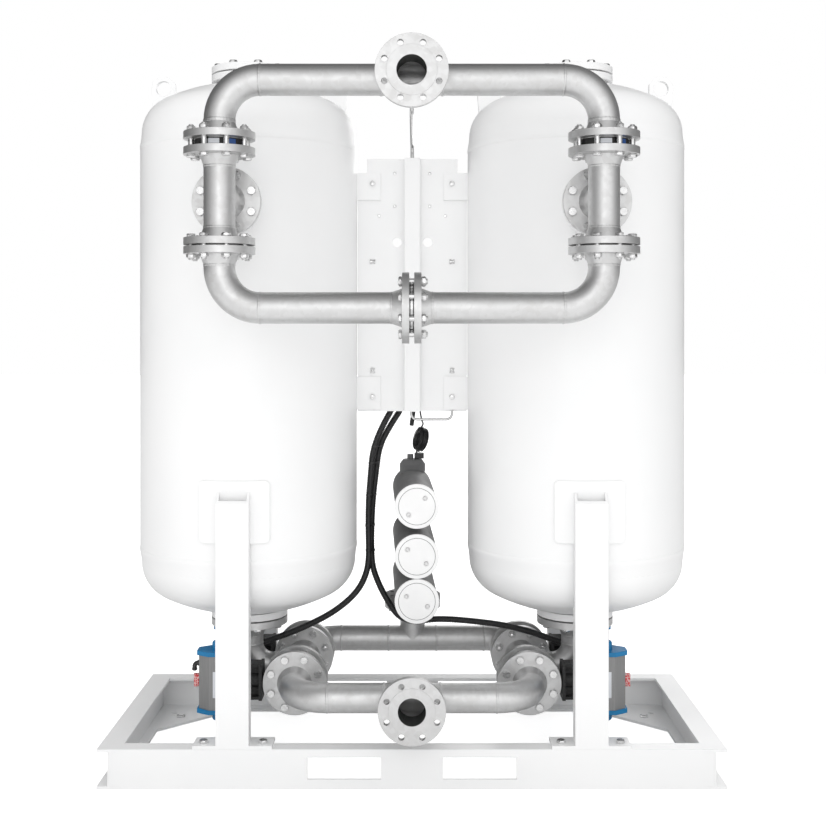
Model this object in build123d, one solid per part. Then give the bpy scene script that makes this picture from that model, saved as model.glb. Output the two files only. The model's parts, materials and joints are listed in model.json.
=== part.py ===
from build123d import *
import os
from dataclasses import dataclass
from math import asin, cos, radians, sin, sqrt, tan

# A twin-tower desiccant air dryer on a lifting skid, in millimetres.
# X runs along the skid, Y from the air inlet side towards the control cabinet, Z up from the floor.
# The origin is the centre of the skid's four anchor holes, on the floor.
# Wet air enters the low front header, passes one of two butterfly valves into a vessel from below,
# dries in the desiccant bed and leaves through a check valve into the high header.
# A small purge flow crosses to the other vessel and leaves by the rear header and the silencers.

# Clearances between pieces
seat_gap = 0.3        # between curved faces that rest on each other
running_gap = 0.05    # radial, between a shaft and its bearing
thread_gap = 0.1      # radial, between a bolt and a threaded hole
bolt_gap = 1          # radial, between a bolt and a drilled hole

# Skid: two channels across the ends of two I-beams
skid_half_length = 947
rail_height = 120
rail_flange_thick = 9
beam_width = 72
beam_web_thick = 6
channel_width = 55
channel_web_thick = 7
fork_half_spacing = 204
fork_pocket_width = 221
fork_pocket_height = 66
fork_pocket_low = 30
gusset_length = 230
gusset_depth = 215
anchor_end_inset = 97
anchor_side_inset = 100
anchor_hole_radius = 11
earth_end_inset = 129
earth_side_inset = 140

# Fasteners, all M16 hexagon bolts
bolt_radius = 8
hexagon_radius = 13.6
bolt_head_height = 10
nut_height = 13
thread_end = 5

# Pipework of nominal size 80, and vessel openings of nominal size 125
pipe_radius = 44.45
pipe_wall = 3.2
long_bend = 114.3
short_bend = 76.2
tee_reach = 86
flange_radius = 100
flange_thick = 20
flange_height = 50
flange_hub_radius = 55
flange_bolt_circle = 80
flange_face_radius = 69
wide_pipe_radius = 69.85
wide_pipe_wall = 4
wide_flange_radius = 125
wide_flange_thick = 22
wide_bolt_circle = 105
wide_face_radius = 94
bolts_per_flange = 8
blind_thread_stop = 4
raised_face = 1.5
gasket_thick = 2
gasket_margin = 1

# Lower pipework
lower_axis_height = 262
bend_gap = 6.8
reducer_length = 70
reducer_cone_length = 42
reducer_start_radius = 62
valve_width = 46

# Vessels
shell_radius = 355.5
shell_wall = 5
head_wall = 8
shell_length = 1310
head_crown_share = 0.9
head_knuckle_share = 0.17
head_skirt = 42
head_overlap = 20
lower_flange_sink = 9
fill_neck = 2
nozzle_rise = 1088
nozzle_stand = 122.5
pad_width = 190
pad_height = 216
pad_thick = 6
pad_corner = 15
pad_rise = 53

# Lifting lugs
lug_inset = 70.5
lug_hole_drop = 14
lug_hole_radius = 25
lug_rim = 14
lug_thick = 20
lug_foot_spread = 12

# Desiccant bed
screen_thick = 5
bed_height = 944

# Legs
leg_width = 100
leg_depth = 50
leg_wall = 8
leg_lap = 138.4
leg_stand = 28.5
leg_slope_rise = 30
foot_length = 240
foot_depth = 80
foot_thick = 10
foot_bolt_half_spacing = 90
foot_bolt_inset = 28

# Upper pipework
check_valve_thick = 17
wafer_gap = 2
check_seat_thick = 6
check_seat_radius = 28
check_bore_radius = 40
check_disc_radius = 32
check_disc_thick = 4
check_pin_radius = 3
check_pin_offset = 35.5
check_pin_bite = 5
header_riser = 4.3
purge_drop = 6.5
orifice_thick = 7
orifice_radius = 10

# Butterfly valves
liner_radius = 39.5
liner_wall = 4.5
liner_lip = 1
valve_ring_radius = 66
disc_gap = 0.3
disc_thick = 9
disc_hub_radius = 12
stem_radius = 8
valve_boss_radius = 20
valve_foot_radius = 18
valve_foot_reach = 76
yoke_flange_gap = 4
yoke_height = 112
yoke_depth = 80
yoke_plate = 10
yoke_rib_depth = 56
yoke_rib_thick = 9
yoke_hole_radius = 16
yoke_length = 95
yoke_neck_radius = 24
yoke_web_thick = 14

# Actuators
actuator_depth = 92
actuator_height = 169
actuator_shoulder = 71
actuator_reach = 107
actuator_crown_depth = 40
pinion_radius = 13
cap_plate = 14
cap_overhang = 6
cap_side = 2
cap_dome_radius = 32
cap_dome_height = 27
cap_round = 8
port_offset = 24
port_width = 30
port_reach = 48
port_mouth = 32
port_rise = 51
indicator_radius = 21
indicator_base = 8
indicator_bar_width = 12
indicator_bar_height = 10

# Exhaust silencers
drum_radius = 70
drum_wall = 4
drum_front = -80
drum_back = 428
drum_heights = [232, 378, 541]
stack_turn = 2
drum_end_round = 8
cover_radius = 72.5
cover_thick = 9
cover_groove_radius = 59
cover_groove_width = 1.6
cover_groove_depth = 1.5
cover_screw_radius = 38
cover_pocket_radius = 8.5
cover_pocket_depth = 4
cover_screw_angles = [-26, -37, 45]
stack_top_rise = 90
stack_cap_radius = 46
stack_cap_skirt = 26
stack_cap_height = 16
stack_cap_top_radius = 34
stack_plug_radius = 11
stack_plug_height = 18
stack_plug_offset = -8
ear_half_width = 96
ear_height = 68
ear_thick = 6
ear_drop = 20
ear_place = 110
ear_corner = 14

# Exhaust sensor
sensor_offset = 15
sensor_stem_radius = 8
sensor_stem_height = 3
sensor_length = 34
sensor_width = 24
sensor_height = 20

# Carrier panel between the vessels
panel_bottom = 1107
panel_height = 838
panel_half_width = 181
panel_gap = 3.5
panel_notch_width = 31
panel_notch = 47
panel_sheet = 3
panel_return = 40
panel_hole_radius = 15.5
panel_hole_x = 51
panel_hole_rise = 561
bracket_lap = 76
bracket_thick = 6
upper_bracket_rise = 701
upper_bracket_height = 90
lower_bracket_rise = 5
lower_bracket_height = 110
bracket_bolt_inset = 49
upper_bracket_bolt_rise = 756
lower_bracket_bolt_rise = 48
cabinet_bolt_rises = [135, 497]
panel_bolt_radius = 5
panel_bolt_head_radius = 9
panel_bolt_head_height = 6
channel_cover_width = 51
channel_cover_depth = 30
channel_cover_sheet = 2

# Control cabinet behind the panel
cabinet_bottom_rise = 83
cabinet_height = 460
cabinet_depth = 188
cabinet_sheet = 2
cabinet_lip = 15
door_gap = 1.5
door_depth = 18
hinge_radius = 5
hinge_pin_radius = 2.5
hinge_length = 24
hinge_offset = 7
hinge_inset = 60
lock_edge = 30
lock_radius = 11
lock_head = 4
lock_stem_radius = 8
lock_key_width = 5
cam_length = 26
cam_width = 12
cam_thick = 3
cam_gap = 3
backplate_margin = 20
backplate_thick = 3
backplate_standoff = 12
standoff_radius = 6
module_margin = 34
module_spacing = 49
module_rail_height = 35
module_rail_depth = 8
controller_width = 198
controller_height = 126
controller_depth = 62
terminal_count = 12
terminal_pitch = 17
terminal_width = 14.5
terminal_height = 60
terminal_depth = 44
pilot_count = 4
pilot_pitch = 38
pilot_width = 31
pilot_height = 70
pilot_depth = 44
pilot_manifold_depth = 20

# Conduits, tubes and the sensor cable
arc_share = 0.45
conduit_radius = 11
gland_radius = 14
gland_length = 25
left_gland_x = -62
left_gland_y = 58
right_gland_x = -30
right_gland_y = 84
cable_radius = 3
cable_gland_radius = 9
cable_gland_x = 24
cable_gland_y = 150
coil_ring_radius = 35
coil_section_radius = 14
coil_gap = 3
coil_turn = 22
coil_lean = 15
sense_tube_radius = 6
sense_tube_drop = 45
sense_tube_hidden = 60
drain_tube_radius = 4
drain_tube_x = -4
drain_tube_hidden = 40
drain_tube_bend = 20
drain_tube_drop = 27

# Places and sizes worked out from the sizes above
bolt_hole_radius = bolt_radius + bolt_gap
gasket_radius = flange_face_radius - gasket_margin
wafer_radius = flange_bolt_circle - bolt_radius - wafer_gap
bore_radius = pipe_radius - pipe_wall
joint_gap = 2 * raised_face + gasket_thick
panel_top_half_width = panel_half_width - panel_notch_width
cabinet_half_width = panel_top_half_width
bracket_reach = panel_half_width - bracket_lap
bracket_bolt_x = panel_half_width - bracket_bolt_inset
vessel_half_spacing = panel_half_width + panel_gap + shell_radius
nozzle_reach = shell_radius + nozzle_stand
fitting_reach = tee_reach + flange_height
valve_line = vessel_half_spacing - short_bend - bend_gap - tee_reach
header_face = fitting_reach + valve_width + 2 * raised_face
header_axis = header_face + flange_height + long_bend
inlet_face = header_axis + fitting_reach
valve_centre = (fitting_reach + header_face) / 2
exhaust_face_height = lower_axis_height + fitting_reach

reducer_top = lower_axis_height + short_bend + reducer_length
vessel_outlet_face = reducer_top + wide_flange_thick
vessel_rim_face = vessel_outlet_face + joint_gap
lower_apex = vessel_rim_face + wide_flange_thick - lower_flange_sink
head_radius = shell_radius - shell_wall
crown_radius = 2 * head_radius * head_crown_share
knuckle_radius = 2 * head_radius * head_knuckle_share
knuckle_centre = head_radius - knuckle_radius
crown_drop = sqrt((crown_radius - knuckle_radius) ** 2 - knuckle_centre ** 2)
head_depth = crown_radius - crown_drop
lower_tangent = lower_apex + head_depth
lower_seam = lower_tangent + head_skirt
upper_seam = lower_seam + shell_length
upper_tangent = upper_seam + head_skirt
upper_apex = upper_tangent + head_depth
fill_rim_face = upper_apex + fill_neck + wide_flange_thick
blind_bottom = fill_rim_face + joint_gap
nozzle_height = lower_seam + nozzle_rise
lug_offset = shell_radius - lug_inset
lug_hole_height = upper_apex - lug_hole_drop

manifold_y = -(nozzle_reach + joint_gap + fitting_reach)
check_gap = check_valve_thick + 2 * (raised_face + gasket_thick)
tee_top_face = nozzle_height + fitting_reach
riser_face = tee_top_face + check_gap
outlet_axis_height = riser_face + flange_height + header_riser + long_bend
tee_low_face = nozzle_height - fitting_reach
purge_rim_face = tee_low_face - joint_gap
purge_axis_height = purge_rim_face - flange_height - purge_drop - long_bend
orifice_gap = orifice_thick + 2 * (raised_face + gasket_thick)
check_bottom = tee_top_face + raised_face + gasket_thick

pad_surface = shell_radius + pad_thick
pad_bottom = lower_seam + pad_rise
leg_top_height = pad_bottom + leg_lap
leg_face = pad_surface + leg_stand
foot_top = rail_height + foot_thick
skid_half_depth = leg_face
anchor_half_length = skid_half_length - anchor_end_inset
anchor_half_depth = skid_half_depth - anchor_side_inset
earth_bolt_x = skid_half_length - earth_end_inset
earth_bolt_y = skid_half_depth - earth_side_inset

yoke_start = valve_line + flange_radius + yoke_flange_gap
actuator_start = yoke_start + yoke_length
actuator_end = actuator_start + actuator_reach
port_x = actuator_start + port_offset - port_width / 2
port_y = valve_centre - actuator_depth / 2 - port_mouth
port_height = lower_axis_height + port_rise

drum_axes = [lower_axis_height + height for height in drum_heights]
silencer_rim_face = exhaust_face_height + joint_gap
stack_top = drum_axes[-1] + stack_top_rise
stack_cap_top = stack_top + stack_cap_height

sensor_top = stack_cap_top + sensor_stem_height + sensor_height
coil_low = sensor_top + coil_gap
coil_rise = coil_ring_radius * cos(radians(coil_lean))
coil_run = coil_ring_radius * sin(radians(coil_lean))
coil_x = sensor_offset + coil_run
coil_height = coil_low + coil_section_radius + coil_rise
coil_high = coil_height + coil_rise + coil_section_radius
coil_top_x = coil_x + coil_run

panel_top = panel_bottom + panel_height
cabinet_bottom = panel_bottom + cabinet_bottom_rise
cabinet_top = cabinet_bottom + cabinet_height
cabinet_back = panel_sheet
cabinet_front = cabinet_back + cabinet_depth
gland_bottom = cabinet_bottom - gland_length
backplate_face = cabinet_back + cabinet_sheet + backplate_standoff + backplate_thick
hinge_x = -(cabinet_half_width + hinge_offset)
hinge_y = cabinet_front + door_gap
door_front = hinge_y + door_depth
lock_x = cabinet_half_width - lock_edge
lock_height = (cabinet_bottom + cabinet_top) / 2

# The conduits' points run from the cabinet's glands to the ports on the two rear actuators.
left_conduit_points = [
    (left_gland_x, left_gland_y, gland_bottom),
    (left_gland_x, left_gland_y, gland_bottom - 45),
    (-98, 56, 1060),
    (-133, 53, 975),
    (-140, 50, 890),
    (-147, 49, 804),
    (-149, 50, 700),
    (-151, 52, 625),
    (-176, 57, 552),
    (-230, 65, 490),
    (-300, 73, 428),
    (-378, 82, 372),
    (-452, 85, 335),
    (-520, port_y, port_height),
    (-port_x, port_y, port_height),
]
right_conduit_points = [
    (right_gland_x, right_gland_y, gland_bottom),
    (right_gland_x, right_gland_y, gland_bottom - 45),
    (-72, 80, 1058),
    (-112, 77, 985),
    (-124, 75, 890),
    (-134, 74, 804),
    (-136, 73, 720),
    (-136, 71, 640),
    (-121, 68, 572),
    (-92, 63, 505),
    (-58, 60, 440),
    (-10, 58, 398),
    (60, 58, 402),
    (130, 60, 401),
    (215, 66, 392),
    (320, 76, 376),
    (410, 83, 350),
    (470, 85, 328),
    (522, port_y, port_height),
    (port_x, port_y, port_height),
]
# The cable's points run from the cabinet's small gland to the top of its coil.
sensor_cable_points = [
    (cable_gland_x, cable_gland_y, gland_bottom),
    (cable_gland_x, cable_gland_y, gland_bottom - 34),
    (cable_gland_x + 1, cable_gland_y + 26, gland_bottom - 72),
    (cable_gland_x, cable_gland_y + 82, gland_bottom - 88),
    (cable_gland_x + 2, header_axis - 50, coil_high + 66),
    (coil_top_x, header_axis, coil_high + 42),
    (coil_top_x, header_axis, coil_high),
]
UPWARD = (Align.CENTER, Align.CENTER, Align.MIN)
DOWNWARD = (Align.CENTER, Align.CENTER, Align.MAX)
SIDES = (-1, 1)
ROWS = {"front": -1, "rear": 1}


# Basic forms
def rod(start, end, radius):
    """A solid cylinder between two points. Its seam is turned away from where branches join."""
    line = Vector(*end) - Vector(*start)
    place = Plane(origin=start, z_dir=line).location * Rot(0, 0, 45)
    return place * Cylinder(radius, line.length, align=UPWARD)


def bend(start, heading, turning, bend_radius, radius):
    """A solid quarter bend that starts along heading and leaves along turning."""
    heading = Vector(*heading)
    turning = Vector(*turning)
    section = Plane(origin=start, z_dir=heading).location * Circle(radius)
    centre = Vector(*start) + turning * bend_radius
    return revolve(section, Axis(centre, heading.cross(turning)), 90)


def block(low, high):
    """A box from its lowest corner to its highest corner."""
    size = [far - near for near, far in zip(low, high)]
    middle = [(far + near) / 2 for near, far in zip(low, high)]
    return Pos(*middle) * Box(*size)


def ring_of(shape, place, circle):
    """Copies of a shape evenly spaced on a circle, none of them on the place's own axes."""
    step = 360 / bolts_per_flange
    turns = [step * (number + 0.5) for number in range(bolts_per_flange)]
    return [
        place * Pos(circle * cos(radians(turn)), circle * sin(radians(turn)), 0) * shape
        for turn in turns
    ]


def both_sides(shape):
    """A shape and its mirror image across the dryer's middle."""
    return [shape, mirror(shape, about=Plane.YZ)]


def group(solids):
    """Separate solids that share one node."""
    return Compound(children=[solid for shape in solids for solid in shape.solids()])


@dataclass
class FlangeSize:
    """The sizes of one standard flange."""

    radius: float
    thick: float
    circle: float
    face_radius: float


narrow = FlangeSize(flange_radius, flange_thick, flange_bolt_circle, flange_face_radius)
wide = FlangeSize(wide_flange_radius, wide_flange_thick, wide_bolt_circle, wide_face_radius)


def flange_rim(face, outward, size, hole_radius=bolt_hole_radius):
    """A drilled flange rim. Its rim plane is at face, and the raised face stands out of it."""
    place = Plane(origin=face, z_dir=outward).location
    rim = place * Cylinder(size.radius, size.thick, align=DOWNWARD)
    raised = place * Cylinder(size.face_radius, raised_face, align=UPWARD)
    hole = Cylinder(hole_radius, 3 * size.thick)
    return rim + raised - ring_of(hole, place, size.circle)


def weld_neck(face, outward):
    """A flange of nominal size 80 with its tapered hub."""
    back = Plane(origin=face, z_dir=-Vector(*outward)).location * Pos(0, 0, flange_thick)
    hub = back * Cone(flange_hub_radius, pipe_radius, flange_height - flange_thick, align=UPWARD)
    return flange_rim(face, outward, narrow) + hub


class Spool:
    """One welded run of pipework: its outer forms, less the bores inside them."""

    def __init__(self):
        self.outer = []
        self.inner = []

    def pipe(self, start, end):
        self.outer.append(rod(start, end, pipe_radius))
        self.inner.append(rod(start, end, bore_radius))

    def elbow(self, start, heading, turning, bend_radius=long_bend):
        self.outer.append(bend(start, heading, turning, bend_radius, pipe_radius))
        self.inner.append(bend(start, heading, turning, bend_radius, bore_radius))

    def flange(self, face, outward):
        outward = Vector(*outward)
        tip = Vector(*face) + outward * raised_face
        end = Vector(*face) - outward * flange_height
        self.outer.append(weld_neck(face, outward))
        self.inner.append(rod(tip, end, bore_radius))

    def solid(self):
        whole = Part() + self.outer
        return whole - self.inner


# Skid
def end_rail(row):
    """A channel with fork pockets, coped to fit between the side beams' flanges."""
    half_length = skid_half_length - beam_width
    web_end = skid_half_length - beam_width / 2 - beam_web_thick / 2
    web_face = skid_half_depth - channel_web_thick
    tips = skid_half_depth - channel_width
    body = block((-half_length, tips, 0), (half_length, skid_half_depth, rail_height))
    hollow = block(
        (-half_length, tips, rail_flange_thick),
        (half_length, web_face, rail_height - rail_flange_thick),
    )
    tongue = block(
        (-web_end, web_face, rail_flange_thick),
        (web_end, skid_half_depth, rail_height - rail_flange_thick),
    )
    rail = body - hollow + tongue
    pocket = Box(fork_pocket_width, 3 * channel_web_thick, fork_pocket_height, align=UPWARD)
    pockets = [Pos(side * fork_half_spacing, web_face, fork_pocket_low) * pocket for side in SIDES]
    bolt_y = skid_half_depth - foot_bolt_inset
    holes = [
        Pos(x, bolt_y, rail_height) * Cylinder(bolt_hole_radius, 3 * rail_flange_thick)
        for x in foot_bolt_places()
    ]
    rail = rail - pockets - holes
    return rail if row > 0 else mirror(rail, about=Plane.XZ)


def side_rail(side):
    """An I-beam along one end of the skid."""
    middle = skid_half_length - beam_width / 2
    body = block(
        (middle - beam_width / 2, -skid_half_depth, 0),
        (skid_half_length, skid_half_depth, rail_height),
    )
    half_web = beam_web_thick / 2
    low = rail_flange_thick
    high = rail_height - rail_flange_thick
    inner = block(
        (middle - beam_width / 2, -skid_half_depth, low), (middle - half_web, skid_half_depth, high)
    )
    outer = block((middle + half_web, -skid_half_depth, low), (skid_half_length, skid_half_depth, high))
    beam = body - inner - outer
    return beam if side > 0 else mirror(beam, about=Plane.YZ)


def corner_gusset():
    """A floor plate across one corner, with its anchor hole and the earthing bolt's hole."""
    x = skid_half_length - beam_width
    y = skid_half_depth - channel_width
    outline = Polyline((x, y), (x - gusset_length, y), (x, y - gusset_depth), close=True)
    plate = extrude(make_face(outline), rail_flange_thick)
    anchor = Pos(anchor_half_length, anchor_half_depth, 0) * Cylinder(anchor_hole_radius, 3 * rail_flange_thick)
    earth = Pos(earth_bolt_x, earth_bolt_y, 0) * Cylinder(bolt_hole_radius, 3 * rail_flange_thick)
    return plate - anchor - earth


def corner_gussets():
    pair = both_sides(corner_gusset())
    return group(pair + [mirror(plate, about=Plane.XZ) for plate in pair])


def foot_bolt_places():
    """The X of each bolt through a foot plate, on one long side of the skid."""
    return [
        side * vessel_half_spacing + shift * foot_bolt_half_spacing for side in SIDES for shift in SIDES
    ]


# Vessels
def head_line(offset, seam_radius, lower_end, upper_end):
    """Half the outline of a closed vessel, drawn in X and Z, set in from the heads' outer face."""
    crown = crown_radius - offset
    knuckle = knuckle_radius - offset
    skirt_radius = head_radius - offset
    tilt = asin(knuckle_centre / (crown_radius - knuckle_radius))
    touch = (crown * sin(tilt), crown * cos(tilt) - crown_drop)
    middle = tilt / 2
    crown_mid = (crown * sin(middle), crown * cos(middle) - crown_drop)
    rest = (tilt + radians(90)) / 2
    knuckle_mid = (knuckle_centre + knuckle * sin(rest), knuckle * cos(rest))
    apex = crown - crown_drop

    def low(point):
        return (point[0], lower_tangent - point[1])

    def high(point):
        return (point[0], upper_tangent + point[1])

    return Curve() + [
        ThreePointArc(low((0, apex)), low(crown_mid), low(touch)),
        ThreePointArc(low(touch), low(knuckle_mid), (skirt_radius, lower_tangent)),
        Polyline(
            (skirt_radius, lower_tangent),
            (skirt_radius, lower_end),
            (seam_radius, lower_end),
            (seam_radius, upper_end),
            (skirt_radius, upper_end),
            (skirt_radius, upper_tangent),
        ),
        ThreePointArc((skirt_radius, upper_tangent), high(knuckle_mid), high(touch)),
        ThreePointArc(high(touch), high(crown_mid), high((0, apex))),
        Line(high((0, apex)), low((0, apex))),
    ]


def vessel_body(offset, seam_radius, lower_end, upper_end):
    outline = head_line(offset, seam_radius, lower_end, upper_end)
    return revolve(Plane.XZ * make_face(outline), Axis.Z, 360)


def vessel_envelope():
    """The vessel's outer form without its fittings. Each head's skirt is stepped into the shell."""
    return vessel_body(0, shell_radius, lower_seam, upper_seam)


def vessel_cavity():
    inner_radius = shell_radius - shell_wall
    return vessel_body(head_wall, inner_radius, lower_seam + head_overlap, upper_seam - head_overlap)


def leg_pad(row):
    """A rounded reinforcing pad, curved to the shell, under the top of one leg."""
    outline = RectangleRounded(pad_width, pad_height, pad_corner)
    middle = pad_bottom + pad_height / 2
    window = Plane(origin=(0, 0, middle), z_dir=(0, row, 0)).location * extrude(outline, 2 * shell_radius)
    return window & (Pos(0, 0, middle) * Cylinder(pad_surface, 2 * pad_height))


def vessel_fittings():
    """The necks and flanges of the bottom outlet, the fill port and the front nozzle."""
    face = (0, 0, vessel_rim_face)
    top = (0, 0, fill_rim_face)
    front = (0, -nozzle_reach, nozzle_height)
    inside = head_depth / 2
    return [
        rod(face, (0, 0, lower_apex + inside), wide_pipe_radius),
        flange_rim(face, (0, 0, -1), wide, bolt_radius + thread_gap),
        rod(top, (0, 0, upper_apex - inside), wide_pipe_radius),
        flange_rim(top, (0, 0, 1), wide, bolt_radius + thread_gap),
        rod(front, (0, -shell_radius / 2, nozzle_height), pipe_radius),
        weld_neck(front, (0, -1, 0)),
    ]


def vessel_bores():
    wide_bore = wide_pipe_radius - wide_pipe_wall
    low = vessel_rim_face - raised_face
    high = fill_rim_face + raised_face
    front = -(nozzle_reach + raised_face)
    return [
        rod((0, 0, low), (0, 0, high), wide_bore),
        rod((0, front, nozzle_height), (0, 0, nozzle_height), bore_radius),
    ]


def panel_brackets():
    """Two plates on the vessel's inner side that carry the panel, here on the right vessel."""
    sizes = [
        (upper_bracket_rise, upper_bracket_height, upper_bracket_bolt_rise),
        (lower_bracket_rise, lower_bracket_height, lower_bracket_bolt_rise),
    ]
    root = vessel_half_spacing - shell_radius + 2 * shell_wall
    plates = []
    for rise, height, bolt_rise in sizes:
        low = (bracket_reach, -bracket_thick, panel_bottom + rise)
        high = (root, 0, panel_bottom + rise + height)
        hole = Rot(90, 0, 0) * Cylinder(panel_bolt_radius + seat_gap, 4 * bracket_thick)
        plates.append(block(low, high) - Pos(bracket_bolt_x, 0, panel_bottom + bolt_rise) * hole)
    return plates


def vessel():
    """The right vessel, one weldment of shell, heads, necks, flanges, leg pads and panel brackets."""
    place = Pos(vessel_half_spacing, 0, 0)
    outside = vessel_envelope() + vessel_fittings() + [leg_pad(row) for row in SIDES]
    outside = place * outside + panel_brackets()
    return outside - place * (vessel_cavity() + vessel_bores())


def lifting_lug():
    """A lug on the shoulder of a vessel at the origin. It is cut to the head's curve."""
    hole = (lug_offset, lug_hole_height)
    eye = lug_hole_radius + lug_rim
    cut = eye * tan(radians(22.5))
    root = upper_tangent
    inner_foot = lug_offset - eye - lug_foot_spread
    outer_foot = lug_offset + eye - lug_foot_spread
    outline = Polyline(
        (inner_foot, root),
        (hole[0] - eye, hole[1] - cut),
        (hole[0] - eye, hole[1] + cut),
        (hole[0] - cut, hole[1] + eye),
        (hole[0] + cut, hole[1] + eye),
        (hole[0] + eye, hole[1] + cut),
        (hole[0] + eye, hole[1] - cut),
        (outer_foot, root),
        close=True,
    )
    face = fillet(make_face(outline).vertices(), lug_rim / 2)
    plate = extrude(Plane.XZ * face, lug_thick / 2, both=True)
    bore = Pos(hole[0], 0, hole[1]) * Rot(90, 0, 0) * Cylinder(lug_hole_radius, 2 * lug_thick)
    return plate - bore - vessel_envelope()


def lifting_lugs():
    outer = lifting_lug()
    pair = both_sides(outer)
    return group([Pos(side * vessel_half_spacing, 0, 0) * lug for side in SIDES for lug in pair])


def inside_disc(bottom, thick):
    """A disc that fills the shell's bore, once in each vessel."""
    disc = Cylinder(shell_radius - shell_wall - seat_gap, thick, align=UPWARD)
    return [Pos(side * vessel_half_spacing, 0, bottom) * disc for side in SIDES]


def desiccant_beds():
    return group(inside_disc(lower_seam + head_overlap + screen_thick, bed_height))


def bed_screens():
    """The lower screen rests on the head's skirt, the upper one on the bed."""
    low = lower_seam + head_overlap
    return group(inside_disc(low, screen_thick) + inside_disc(low + screen_thick + bed_height, screen_thick))


def fill_port_covers():
    blind = flange_rim((0, 0, blind_bottom), (0, 0, -1), wide)
    return group([Pos(side * vessel_half_spacing, 0, 0) * blind for side in SIDES])


# Legs
def leg(side, row):
    """A folded channel on a foot plate, cut to the pad that it is welded to."""
    half = leg_width / 2
    top = leg_top_height + leg_slope_rise
    body = block((-half, leg_face - leg_depth, foot_top), (half, leg_face, top))
    hollow = block(
        (leg_wall - half, leg_face - leg_depth, foot_top), (half - leg_wall, leg_face - leg_wall, top)
    )
    slope = Polyline(
        (leg_face, leg_top_height),
        (leg_face, top + 1),
        (pad_surface - leg_wall, top + 1),
        (pad_surface, top),
        close=True,
    )
    wedge = extrude(Plane.YZ * make_face(slope), leg_width, both=True)
    relief = lower_tangent - head_depth / 2
    pad_space = Pos(0, 0, relief) * Cylinder(pad_surface + seat_gap, shell_length, align=UPWARD)
    foot = block(
        (-foot_length / 2, leg_face - foot_depth, rail_height), (foot_length / 2, leg_face, foot_top)
    )
    hole = Cylinder(bolt_hole_radius, 4 * foot_thick)
    bolt_y = leg_face - foot_bolt_inset
    holes = [Pos(shift * foot_bolt_half_spacing, bolt_y, rail_height) * hole for shift in SIDES]
    whole = body - hollow - wedge - pad_space + (foot - holes)
    whole = whole if row > 0 else mirror(whole, about=Plane.XZ)
    return Pos(side * vessel_half_spacing, 0, 0) * whole


def vessel_legs(side):
    return group([leg(side, row) for row in SIDES])


# Upper pipework
def upper_tee(side):
    x = side * vessel_half_spacing
    spool = Spool()
    spool.pipe((x, manifold_y, tee_low_face + flange_height), (x, manifold_y, tee_top_face - flange_height))
    spool.pipe((x, manifold_y, nozzle_height), (x, manifold_y + tee_reach, nozzle_height))
    spool.flange((x, manifold_y, tee_top_face), (0, 0, 1))
    spool.flange((x, manifold_y, tee_low_face), (0, 0, -1))
    spool.flange((x, manifold_y + fitting_reach, nozzle_height), (0, 1, 0))
    return spool.solid()


def outlet_header():
    """The high header, with the dry air outlet in the middle."""
    spool = Spool()
    bend_start = outlet_axis_height - long_bend
    straight = vessel_half_spacing - long_bend
    for side in SIDES:
        x = side * vessel_half_spacing
        spool.flange((x, manifold_y, riser_face), (0, 0, -1))
        spool.pipe((x, manifold_y, riser_face + flange_height), (x, manifold_y, bend_start))
        spool.elbow((x, manifold_y, bend_start), (0, 0, 1), (-side, 0, 0))
    spool.pipe((-straight, manifold_y, outlet_axis_height), (straight, manifold_y, outlet_axis_height))
    spool.pipe((0, manifold_y, outlet_axis_height), (0, manifold_y - tee_reach, outlet_axis_height))
    spool.flange((0, manifold_y - fitting_reach, outlet_axis_height), (0, -1, 0))
    return spool.solid()


def purge_pipe(side):
    """From the tee under one vessel's nozzle to the orifice plate in the middle."""
    x = side * vessel_half_spacing
    end_face = side * orifice_gap / 2
    straight = side * (vessel_half_spacing - long_bend)
    bend_start = purge_axis_height + long_bend
    spool = Spool()
    spool.flange((x, manifold_y, purge_rim_face), (0, 0, 1))
    spool.pipe((x, manifold_y, purge_rim_face - flange_height), (x, manifold_y, bend_start))
    spool.elbow((x, manifold_y, bend_start), (0, 0, -1), (-side, 0, 0))
    spool.pipe(
        (straight, manifold_y, purge_axis_height),
        (end_face + side * flange_height, manifold_y, purge_axis_height),
    )
    spool.flange((end_face, manifold_y, purge_axis_height), (-side, 0, 0))
    return spool.solid()


def purge_orifice_plate():
    place = Pos(0, manifold_y, purge_axis_height) * Rot(0, 90, 0)
    hole = Cylinder(orifice_radius, 2 * orifice_thick)
    bevel = Cone(orifice_radius, orifice_radius + orifice_thick / 2, orifice_thick / 2, align=UPWARD)
    return place * (Cylinder(wafer_radius, orifice_thick) - hole - bevel)


def check_pin_length():
    """Half the hinge pin's length: it bites into the ring on both sides of the bore."""
    return sqrt(check_bore_radius ** 2 - check_pin_offset ** 2) + check_pin_bite


def check_pin_height():
    return check_seat_thick + check_disc_thick / 2 + seat_gap


def check_valve_body():
    """A wafer ring with a seat below and a blind bearing on each side for the hinge pin."""
    ring = Cylinder(wafer_radius, check_valve_thick, align=UPWARD)
    bore = Pos(0, 0, check_seat_thick) * Cylinder(check_bore_radius, check_valve_thick, align=UPWARD)
    seat = Cylinder(check_seat_radius, 3 * check_seat_thick)
    reach = check_pin_length() + running_gap
    pin_hole = rod(
        (-reach, check_pin_offset, check_pin_height()),
        (reach, check_pin_offset, check_pin_height()),
        check_pin_radius + running_gap,
    )
    return ring - bore - seat - pin_hole


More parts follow.
